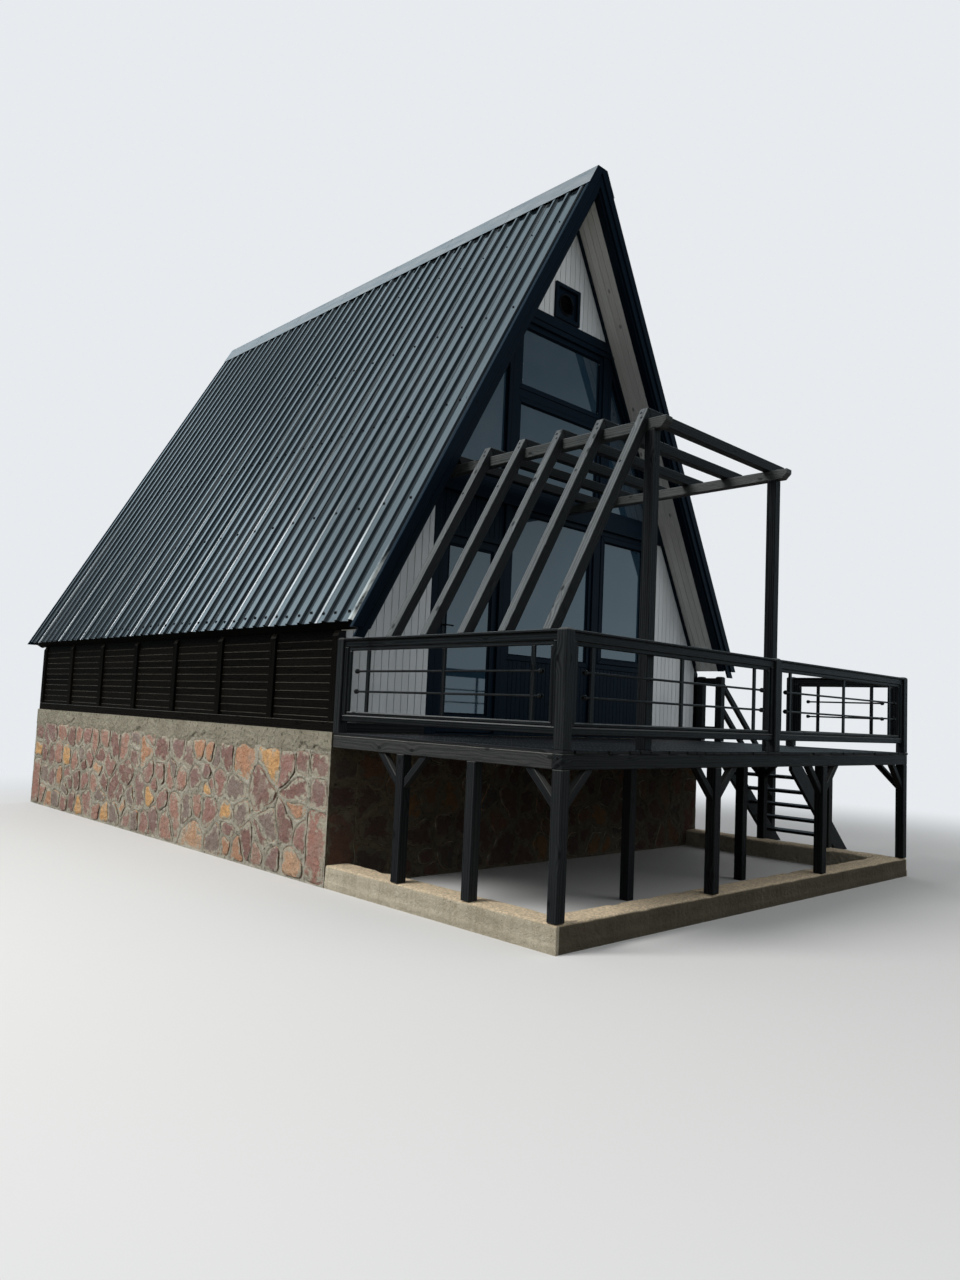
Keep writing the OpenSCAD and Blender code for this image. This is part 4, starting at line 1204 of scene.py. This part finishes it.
# Pale patches on the sheet within about 15 cm of the front verge, low on the slope.
pale_by_front_verge = math_node(node, "MULTIPLY", spread(node, lying["Y"], (sheet_lo.y + 0.05, sheet_lo.y + 0.15), (1, 0)),
                   spread(node, lying["X"], (0.2, 1.0), (1, 0)))
pale_share = math_node(node, "MULTIPLY", pale_by_front_verge, cloud(node, stretched(node, lay, (1, 4, 1)), 4, 6, 0.35, 0.55))
feed(steel_shader, "Base Color", blend(node, pale_share, tint, (0.60, 0.64, 0.62)))
feed(steel_shader, "Roughness", spread(node, streaks, to=(0.10, 0.24)))
# Painted glint: the lips at the sheet laps are pale, brightest low on the slope and fading upwards, as if
# catching the sky.
lap_glint, edge_shader, node = finish("lap_lip_painted_glint", (0.45, 0.48, 0.50), 0.3)
lay = marked(node, "grain")
above = math_node(node, "ADD", split(node, lay)["X"], marked(node, "board"))
patches = spread(node, cloud(node, stretched(node, lay, (1.1, 3, 1)), 1.6, 3, 0.35, 0.6), to=(0.5, 1))
pale_share = math_node(node, "MULTIPLY", patches, spread(node, above, (1.1, 2.5), (1, 0)))
feed(edge_shader, "Base Color", blend(node, pale_share, (0.05, 0.06, 0.065), (0.58, 0.62, 0.64)))
washer_black = mottled("black_washers", (0.003, 0.003, 0.0035), (0.006, 0.006, 0.007), 0.5, 40,
                       Specular_IOR_Level=0.1)[0]


def rib_section(centre, rise):
    """Points over one rib, from the pan on one side to the pan on the other."""
    side = Vector((rib_foot - rib_top, crest - pan)).normalized() * 0.0026
    half = [(-rib_foot - 0.0026, pan), (-rib_foot + side.x, pan + side.y),
            (-rib_top - side.x, crest - side.y), (-rib_top + 0.0026, crest)]
    return [(centre + y, z + rise) for y, z in half + [(-y, z) for y, z in reversed(half)]]


def double_skin(row, rows):
    """Faces of a sheet with its thickness: both skins and the four edges."""
    skin = (rows + 1) * row
    faces = grid(row, rows) + grid(row, rows, skin)
    for end in (0, rows * row):
        faces += [[end + i, end + i + 1, skin + end + i + 1, skin + end + i] for i in range(row - 1)]
    for i in (0, row - 1):
        faces += [[j + i, j + row + i, skin + j + row + i, skin + j + i] for j in range(0, rows * row, row)]
    return faces


rows = [0, 0.02, 0.05, 0.09, 0.14, 0.21] + [0.21 + (sheet_end - 0.21) * k / 19 for k in range(1, 20)]
for side, sign in (("left", -1), ("right", 1)):
    rng = random.Random("sheets " + side)
    sheets, screws = Stock(), Stock()
    rib = 0
    while rib < rib_count - 1:
        last = min(rib + (ribs_a_sheet if rib else ribs_first_sheet), rib_count - 1)
        section = []
        if rib == 0:
            section += [(sheet_lo.y, pan), (first_rib - rib_foot - 0.02, pan)]
        for k in range(rib, last + 1):
            centre = first_rib + k * rib_pitch
            section += rib_section(centre, lap_rise if k == rib and rib else 0)
            if k < last:
                section += [(centre + rib_pitch * share, pan) for share in (0.38, 0.62)]
        if rib:
            section = [(section[0][0] - width, pan + lap_rise) for width in (lip, 0.25 * lip)] + section
        if last == rib_count - 1:
            section += [(sheet_hi.y - 0.03, pan), (sheet_hi.y, pan)]
        else:
            section.append((section[-1][0] + 0.008, pan))
        points, grain = [], []
        phase, drop = rng.uniform(0, 50), rng.uniform(0, 0.004)
        for under in (0, steel):
            for s in rows:
                for y, height in section:
                    wave, dent = 0, 0
                    if height < 0.01:
                        wave = 0.0009 * (1 + ripple(y * 3, s * 1.3, 1, phase))
                        dent = max(0, 1 - s / 0.13) * 0.007 * max(0, ripple(y * 9, s * 6, 1, phase + 9))
                    foot = drop + 0.003 * (1 + ripple(y, 0, 6, phase)) if s == 0 else 0
                    at = on_roof(sign, s + foot, y, height + wave + dent - under - 0.035)
                    points.append(at)
                    grain.append((s, y, height))
        row = len(section)
        faces = double_skin(row, len(rows) - 1)
        # The lap lips take the painted glint.
        edges = [f for f in faces if rib and all(i % row < 2 for i in f)]
        sheets.add(points, [f for f in faces if f not in edges], grain, rng.random())
        if edges:
            sheets.add(points, edges, grain, 1.6 * rng.random() - 0.4, kind=1)
        rib = last
    sheets.piece("steel_sheets_" + side, [anthracite, lap_glint], "roof_sheet",
                 replaces=["roof_sheet_" + side], smooth=20)

    def screw(s, y, washer):
        """A hexagon head on its sealing washer, driven through a pan."""
        sides, points = 12, []
        head = 0.58 * washer + 0.0025
        for share, height in ((1.0, 0.0), (1.0, 0.0030), (0.61, 0.0045), (0.47, 0.0045), (0.44, head),
                              (0.36, head + 0.001)):
            radius = share * washer
            for k in range(sides):
                turn = 2 * math.pi * k / sides
                hexed = radius if height < 0.0044 else radius * (1.0 if k % 2 else 0.93)
                points.append(on_roof(sign, s + hexed * math.cos(turn), y + hexed * math.sin(turn),
                                      pan + 0.0015 - 0.035 + height))
        screws.add(points, hoops(sides, 0, 5) + end_faces(sides, 6))

    for k in range(rib_count - 1):
        y = first_rib + (k + 0.5) * rib_pitch
        screw(0.13 + rng.uniform(-0.02, 0.02), y + rng.uniform(-0.01, 0.01), 0.018)
        for s, every, aside, washer in ((1.54, 2, 0, 0.017), (2.94, 1, 0.06, 0.015), (4.40, 2, 0, 0.015),
                                        (5.90, 2, 0, 0.011)):
            if k % every == 0:
                for way in ((-1, 1) if aside else (0,)):
                    up = s + rng.uniform(-0.012, 0.012)
                    screw(up, y + way * aside + rng.uniform(-0.006, 0.006), washer)
    screws.piece("sheet_screws_" + side, [washer_black], "roof_sheet", smooth=30)


# Ridge cap
# A folded grey cap over both slopes, in lengths of about 1.3 m with each lapped over the next.
# Its wings lie on the ribs, with a small upturn along their edges, and sag a little between them.
cap_lo, cap_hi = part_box("ridge_cap")
cap_wing = 0.325
cap_seams = [cap_lo.y, 0.76, 1.97, 3.23, 4.55, 5.90, 7.23, cap_hi.y]
cap_over = 0.0032
cap = Stock()
rng = random.Random("ridge cap")


def on_cap(w, y, rise):
    """A point w across the cap from the middle of its flat, rise above the rib tops."""
    down = abs(w) - ridge_flat / 2
    if down < 0:
        return Vector((w, y, ridge_top + rise))
    return on_roof(1 if w > 0 else -1, slope_l - down, y, rise)


edge = ridge_flat / 2
half_profile = [edge + cap_wing, edge + 0.93 * cap_wing, edge + 0.5 * cap_wing, edge + 0.004, edge - 0.004]
profile = half_profile + [0] + [-w for w in reversed(half_profile)]
grey_metal, cap_shader, node = finish("grey_coating", (0.16, 0.18, 0.195), 0.3)
lay = marked(node, "grain")
soiled = cloud(node, stretched(node, lay, (1, 4, 1)), 2.2, 6)
feed(cap_shader, "Base Color", blend(node, soiled, (0.13, 0.15, 0.165), (0.21, 0.23, 0.24)))
feed(cap_shader, "Roughness", spread(node, soiled, to=(0.25, 0.42)))
relief(node, cap_shader, cloud(node, lay, 300, 3), 0.0001, 0.3)
for k, (y0, y1) in enumerate(zip(cap_seams, cap_seams[1:])):
    lap = 0.06 if k < len(cap_seams) - 2 else 0
    steps = max(4, round((y1 + lap - y0) / 0.16))
    points, grain = [], []
    for under in (0, 0.0009):
        for j in range(steps + 1):
            y = y0 + (y1 + lap - y0) * j / steps
            past = max(0.0, (y - y1) / lap) if lap else 0
            for w in profile:
                over = cap_over - 0.0011 - (0.0004 if past else 0)
                middle = edge + 0.05 < abs(w) < edge + 0.9 * cap_wing
                sag = 0.0004 * (1 + ripple(y, w, 2.5, k)) if middle else 0
                lift = 0.001 if abs(w) > edge + 0.99 * cap_wing else 0
                rise = over - sag + lift - under if j or not k else over - under + 0.001
                points.append(on_cap(w, y, rise))
                grain.append((y, abs(w), 0))
    cap.add(points, double_skin(len(profile), steps), grain, rng.random())
cap.piece("ridge_capping", [grey_metal], "ridge_metal", replaces=["ridge_cap"], smooth=35)


# Kerb
# A concrete kerb cast between boards round the foot of the deck; its posts stand on it.
# The form boards left a ledge near the ground and upright streaks, and the top was never trowelled smooth.
kerb_lo, kerb_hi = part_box("kerb")
kerb = Stock()
kerb_section = [(0, 0), (0, 0.035), (0.0, 0.064), (0.005, 0.072), (0.005, 0.11), (0.006, 0.15), (0.005, 0.19),
                (0.010, 0.209), (0.024, 0.2175), (0.07, 0.2185), (0.12, 0.2185), (0.17, 0.2185),
                (0.22, 0.2185), (0.27, 0.2175), (0.296, 0.210), (0.304, 0.195), (0.306, 0.12), (0.308, 0.05),
                (0.31, 0)]
stretch = 0.045


def kerb_point(leg, share, inward):
    """A point on one of the kerb's three legs, inward from its outer face."""
    near, far = kerb_lo.y + inward, kerb_hi.y
    if leg == 0:
        return kerb_lo.x + inward, far + (near - far) * share, (1, 0)
    if leg == 1:
        return kerb_lo.x + inward + (kerb_hi.x - kerb_lo.x - 2 * inward) * share, near, (0, 1)
    return kerb_hi.x - inward, near + (far - near) * share, (-1, 0)


points, grain = [], []
for leg, length in enumerate((kerb_hi.y - kerb_lo.y, kerb_hi.x - kerb_lo.x, kerb_hi.y - kerb_lo.y)):
    steps = round(length / stretch)
    for j in range(0 if leg == 0 else 1, steps + 1):
        run = length * j / steps + 4 * leg
        for inward, z in kerb_section:
            x, y, facing = kerb_point(leg, j / steps, inward)
            top = z > 0.2
            rough = 0.003 * (1 + ripple(run, z * 0.6, 7, 2)) + 0.0015 * (1 + ripple(run, z, 30, 3))
            worn = 0.024 * max(0, ripple(run, inward, 4, 8) - 0.05) if 0.2 < z < 0.218 else 0
            if inward < 0.03 or inward > 0.29:
                push = (rough + worn) * (1 if inward < 0.15 else -1)
                x, y = x + facing[0] * push, y + facing[1] * push
            drop = (0.0015 * (1 + ripple(run, inward, 13, 4)) + worn) if top else 0
            points.append((x, y, z - drop))
            grain.append((run, inward, z))
row = len(kerb_section)
rings = len(points) // row
faces = grid(row, rings - 1) + end_faces(row, rings)
faces += [[j * row, (j + 1) * row, (j + 2) * row - 1, (j + 1) * row - 1] for j in range(rings - 1)]
kerb.add(points, faces, grain)

concrete, concrete_shader, node = finish("cast_concrete", (0.42, 0.37, 0.28), 0.9)
lay = marked(node, "grain")
leg_run = split(node, lay)
place_in = place_of(node)
tone = blend(node, cloud(node, place_in, 2.2, 7, 0.35, 0.7), (0.50, 0.425, 0.305), (0.70, 0.61, 0.45))
marks = cloud(node, stretched(node, lay, (1, 1, 0.12)), 26, 7, 0.35, 0.7)
tone = blend(node, marks, tone, (0.80, 0.78, 0.74), "MULTIPLY")
tone = blend(node, cloud(node, place_in, 130, 4, 0.58, 0.68), tone, (0.80, 0.75, 0.62))
tone = blend(node, cloud(node, place_in, 60, 5, 0.66, 0.72), tone, (0.10, 0.085, 0.06))
# The outer face of the front leg is darkened: partly splashed dirt, partly painted shade.
front_dirt_and_shade = math_node(node, "MULTIPLY", math_node(node, "COMPARE", leg_run["X"], 7.25, 3.25),
                  spread(node, leg_run["Y"], (0.02, 0.06), (1, 0)))
tone = blend(node, front_dirt_and_shade, tone, (0.20, 0.188, 0.165), "MULTIPLY")
tone = blend(node, 1.0, tone, (0.94, 0.97, 1.0), "MULTIPLY")
sandy = blend(node, cloud(node, place_in, 48, 6, 0.40, 0.62), (0.84, 0.67, 0.45), (0.52, 0.42, 0.29))
feed(concrete_shader, "Base Color", blend(node, spread(node, leg_run["Z"], (0.198, 0.214)), tone, sandy))
cast = relief(node, concrete_shader, cloud(node, place_in, 22, 8, 0.3, 0.7, 0.65), 0.016)
relief(node, concrete_shader, cloud(node, place_in, 90, 10, 0.2, 0.8, 0.7), 0.006, under=cast)
kerb.piece("cast_kerb", [concrete], "concrete", replaces=["kerb"], smooth=35)


# Deck timbers
# Square black-stained posts on the kerb and the ground, knee braces, beams on the posts and joists between.
# The front beam takes the boards' ends; two bolts hold each side beam to it.
worked("deck_legs", ["deck_posts"], 0.005, black_stain)
worked("knee_braces", ["deck_braces"], 0.004, black_stain)
deck_lo, deck_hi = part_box("deck_frame")
deck_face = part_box("deck_boards")
leg = 0.1
post_x = (deck_lo.x, deck_lo.x + 2.13, deck_lo.x + 4.25, deck_hi.x - leg)
rng = random.Random("deck timbers")
beams = Stock()
box_bar(beams, (deck_lo.x, deck_lo.y, deck_lo.z), (deck_hi.x, deck_lo.y + leg, deck_hi.z), 0.005, rng, kind=1)
for x in post_x:
    box_bar(beams, (x, deck_lo.y + leg, deck_lo.z), (x + leg, deck_hi.y, deck_hi.z), 0.005, rng)
joist_step, joist_w = 0.47, 0.05
joist_places = [deck_lo.y + i * joist_step for i in range(1, 6)]
for y in joist_places:
    for x0, x1 in zip(post_x, post_x[1:]):
        box_bar(beams, (x0 + leg, y, deck_lo.z + 0.02), (x1, y + joist_w, deck_hi.z), 0.003, rng)
# The side beams are lighter than the black stain: partly greyed by weather, partly painted sunlight on their
# lit faces.
greyed_sunlit_stain = timber_finish("greyed_black_stain_painted_sunlight", (0.008, 0.009, 0.009), (0.054, 0.055, 0.052), 0.42, 0.7,
                             0.002, dust_and_sheen=(0.26, 0.26, 0.23), dust_and_sheen_share=0.6, lines=0.35)
beams.piece("deck_beams", [greyed_sunlit_stain, black_stain], "black_timber", replaces=["deck_frame"])


def lathe(stock, at, along, side, profile, sides):
    """A turned piece: its profile gives the radius of each ring and its place along the axis."""
    points = []
    for radius, distance in profile:
        points += circle(at + along * distance, radius, side, along.cross(side), sides)
    stock.add(points, end_faces(sides, len(profile)) + hoops(sides, 0, len(profile) - 1))


def stud(stock, centre, outward, radius, height, sides=14):
    """A domed bolt or screw head on a thin washer."""
    outward = Vector(outward).normalized()
    lathe(stock, Vector(centre), outward, outward.orthogonal().normalized(),
          ((1.6 * radius, -0.001), (1.6 * radius, 0.0012), (radius, 0.0016), (radius, height * 0.6),
           (0.75 * radius, height * 0.9), (0.35 * radius, height)), sides)


zinc = mottled("zinc_plate", (0.40, 0.41, 0.42), (0.52, 0.53, 0.54), 0.35, 60, 0.9)[0]
bolts, corner_bolts = Stock(), Stock()
for sign, x in ((-1, deck_lo.x), (1, deck_hi.x)):
    for height in (0.035, 0.085):
        stud(corner_bolts, (x, deck_lo.y + 0.05, deck_lo.z + height), (sign, 0, 0), 0.007, 0.006)
corner_bolts.piece("corner_bolts", [metal], "black_timber", smooth=35)
pins = Stock()
upper_foot, upper_head = transom_hi, header_lo - upper_rail
pin_x, pin_proud = upper_in - frame_w - 0.007, gable_front - frame_face - 0.013
for u, share in ((1, 0.95), (1, 0.03), (-1, 0.08), (-1, 0.35)):
    height = upper_foot + share * (upper_head - upper_foot)
    stud(pins, on_front(u * pin_x, height, pin_proud), (0, -1, 0), 0.004, 0.003, 10)
pins.piece("bead_pins", [zinc], "black_frame", smooth=35)


# Deck boards
# Thick boards under the same black stain, walked grey, laid from the house out over the front beam.
# Their front ends were cut by hand and stand out unevenly.
worn_stain = timber_finish("worn_black_stain", (0.004, 0.004, 0.004), (0.026, 0.027, 0.028), 0.42, 0.4, 0.002,
                           dust_and_sheen=(0.024, 0.028, 0.033), dust_and_sheen_share=0.6, gloss=0.12)
rng = random.Random("deck boards")
deck_planks = Stock()
plank = 0.1385
count = round((deck_face[1].x - deck_face[0].x) / plank)
plank = (deck_face[1].x - deck_face[0].x) / count
for k in range(count):
    x0 = deck_face[0].x + k * plank
    ragged = rng.choice((0, 0, 0.003, 0.006, 0.009, 0.014))
    cup = rng.uniform(0, 0.0015)
    box_bar(deck_planks, (x0 + 0.002, deck_face[0].y + ragged, deck_face[0].z + 0.0005),
            (x0 + plank - 0.002, deck_face[1].y - 0.001, deck_face[1].z - cup), 0.003, rng, along=1)
    for y in [deck_lo.y + leg / 2] + [place + joist_w / 2 for place in joist_places]:
        for share in (0.25, 0.75):
            stud(bolts, (x0 + plank * share, y + rng.uniform(-0.006, 0.006), deck_face[1].z - cup), (0, 0, 1),
                 0.003, 0.0008, 8)
deck_planks.piece("deck_planks", [worn_stain], "deck_timber", replaces=["deck_boards"])


# Railing
# Panels between square posts: a deep moulded bottom rail, a top rail under a wide cap board, end stiles with
# an inner step, two or three flat bars and two thin steel rods that end in small knobs.
worked("rail_posts", ["railing_posts"], 0.004, black_stain)
deck_z = floor_z
rail_frame, rail_step, step_back = 0.055, 0.035, 0.012
bottom_rail, top_rail = (0.110, 0.210), (0.800, 0.900)
cap_t, bar_w, bar_t = 0.020, 0.040, 0.020
rod_heights = (0.405, 0.600)
rods = Stock()
rail_stain = timber_finish("rail_stain", (0.0022, 0.0029, 0.0034), (0.014, 0.0162, 0.0175), 0.28, 0.3, 0.0008,
                           dust_and_sheen=(0.20, 0.205, 0.20), dust_and_sheen_share=0.6, gloss=0.12)


def rail_panel(stock, start, direction, run, bars, rng):
    along = Vector(direction)
    up = Vector((0, 0, 1))
    across = up.cross(along)
    start = Vector(start)

    def lying(x0, x1, half, z0, z1, chamfer):
        section = [(-half, z0), (half, z0), (half, z1), (-half, z1)]
        cut_bar(stock, section, start + along * x0, (along, across, up), x1 - x0, chamfer, rng)

    def standing(x0, x1, half, z0, z1, chamfer):
        section = [(x0, -half), (x1, -half), (x1, half), (x0, half)]
        cut_bar(stock, section, start + up * z0, (up, along, across), z1 - z0, chamfer, rng)

    half, step_half = rail_frame / 2, rail_frame / 2 - step_back
    inner = rail_frame + rail_step
    lying(0, run, half, bottom_rail[0], bottom_rail[1] - rail_step, 0.009)
    lying(0, run, half, top_rail[0] + rail_step, top_rail[1], 0.004)
    for x0 in (0, run - rail_frame):
        standing(x0, x0 + rail_frame, half, bottom_rail[1] - rail_step, top_rail[0] + rail_step, 0.004)
    lying(rail_frame, run - rail_frame, step_half, bottom_rail[1] - rail_step, bottom_rail[1], 0.009)
    lying(rail_frame, run - rail_frame, step_half, top_rail[0], top_rail[0] + rail_step, 0.006)
    for x0 in (rail_frame, run - inner):
        standing(x0, x0 + rail_step, step_half, bottom_rail[1], top_rail[0], 0.006)
    lying(0, run, leg / 2, top_rail[1], top_rail[1] + cap_t, 0.004)
    for share in bars:
        x0 = share * run - bar_w / 2
        standing(x0, x0 + bar_w, bar_t / 2, bottom_rail[1], top_rail[0], 0.002)
    for z in rod_heights:
        x0, x1 = inner + 0.08, run - inner - 0.08
        tube(rods, [start + along * x0 + up * z, start + along * x1 + up * z], 0.0105, 12)
        for x in (x0, x1 - 0.04):
            lathe(rods, start + along * x + up * z, along, across,
                  ((0.015, 0), (0.019, 0.003), (0.019, 0.013), (0.0225, 0.014), (0.0225, 0.034),
                   (0.015, 0.040)), 16)


mid_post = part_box("railing_front_left")[1].x
right_run, short_from = 1.46 - leg, 2.66
for name, start, direction, run, bars in (
        ("railing_left", (deck_lo.x + leg / 2, deck_lo.y + leg, deck_z), (0, 1, 0),
         deck_hi.y - deck_lo.y - 2 * leg, (0.1, 0.48, 0.87)),
        ("railing_front_left", (deck_lo.x + leg, deck_lo.y + leg / 2, deck_z), (1, 0, 0),
         mid_post - deck_lo.x - leg, (0.09, 0.49, 0.89)),
        ("railing_front_right", (mid_post + leg, deck_lo.y + leg / 2, deck_z), (1, 0, 0),
         deck_hi.x - 2 * leg - mid_post, (0.09, 0.49, 0.89)),
        ("railing_right", (deck_hi.x - leg / 2, deck_lo.y + leg, deck_z), (0, 1, 0),
         right_run, (0.24, 0.76))):
    panel = Stock()
    rng = random.Random(name)
    rail_panel(panel, start, direction, run, bars, rng)
    if name == "railing_right":
        for low, high in ((0.110, 0.210), (0.820, 0.910)):
            box_bar(panel, (deck_hi.x - 0.075, deck_lo.y + short_from, deck_z + low),
                    (deck_hi.x - 0.025, deck_hi.y - leg, deck_z + high), 0.004, rng)
    panel.piece(name + "_panel", [rail_stain], "black_timber", replaces=[name])
rod_paint = mottled("rod_paint", (0.005, 0.0055, 0.006), (0.012, 0.0125, 0.013), 0.32, 9,
                    Specular_IOR_Level=0.25)[0]
rods.piece("railing_rods", [rod_paint], "black_timber", smooth=40)


# Stair
# Seven rises down the right side of the deck: two plain strings carry thick treads between them.
# A newel stands on the ground at the far side, with two sloping rails back to the deck.
worked("stair_strings", ["stair_stringers"], 0.004, black_stain)
worked("stair_steps", ["stair_treads"], 0.005, worn_stain)
hand_lo, hand_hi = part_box("stair_handrail")
newel_x = hand_hi.x - leg
handrail = Stock()
rng = random.Random("handrail")
rises, going = 7, 0.25
rail_height, rail_drop = 0.93, 0.35
box_bar(handrail, (newel_x, hand_lo.y, 0), (newel_x + leg, hand_lo.y + leg, hand_hi.z), 0.005, rng)
fall = (newel_x - deck_hi.x) / going * (deck_z / rises)
for lower in (0, rail_drop):
    z1 = deck_z + rail_height - 0.02 - lower
    outline = [(deck_hi.x, z1 - 0.1), (deck_hi.x, z1), (newel_x, z1 - fall), (newel_x, z1 - fall - 0.1)]
    slab(handrail, outline, lambda u, v, h: (u, hand_lo.y + 0.05 - h, v), 0, 0.05, 0.005, rng,
         (newel_x - deck_hi.x, -fall))
handrail.piece("stair_rail", [black_stain], "black_timber", replaces=["stair_handrail"])


# Pergola
# Two posts carry two long beams from the front of the deck to the house, and six cross beams lie on these.
# Five sloping rafters stand on the left railing, are notched over the long beam, and are mitred and screwed
# to the cross beams.
weathered = timber_finish("weathered_black_stain", (0.005, 0.0055, 0.0055), (0.028, 0.031, 0.032), 0.45, 0.95,
                          0.003, dust_and_sheen=(0.150, 0.160, 0.162), dust_and_sheen_share=0.95)
worked("pergola_uprights", ["pergola_posts"], 0.005, black_stain)
# The long beams are lighter than the black stain: partly weathered, partly painted sunlight on their lit
# sides.
sunlit_weathered_stain = timber_finish("weathered_stain_painted_sunlight", (0.016, 0.018, 0.018), (0.110, 0.115, 0.110), 0.45, 0.8, 0.002,
                       dust_and_sheen=(0.145, 0.155, 0.155), dust_and_sheen_share=0.7, lines=0.4)
worked("pergola_long_beams", ["pergola_side_beams"], 0.005, sunlit_weathered_stain)
worked("pergola_cross_timbers", ["pergola_cross_beams"], 0.004, black_stain)
worked("pergola_sloping_rafters", ["pergola_rafters"], 0.004, weathered)
corners = [v.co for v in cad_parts["pergola_rafters"].data.vertices]
foot = min(corners, key=lambda p: (round(p.z, 3), p.x))
head = max(corners, key=lambda p: (round(p.z, 3), -p.x))
rise = Vector((head.x - foot.x, 0, head.z - foot.z)).normalized()
rafter_step, rafter_w = 0.49, 0.085
rafter_screws = Stock()
for k in range(5):
    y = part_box("pergola_rafters")[0].y + k * rafter_step + rafter_w / 2
    for down, aside in ((0.055, 0.012), (0.115, -0.012), (0.62, 0.01)):
        at = Vector((head.x, y + aside, head.z)) - rise * down
        stud(rafter_screws, at, (-rise.z, 0, rise.x), 0.008, 0.003, 12)
rafter_screws.piece("rafter_screws", [metal], "weathered_timber", smooth=35)
bolts.piece("bolts_and_screws", [zinc], "black_timber", smooth=35)
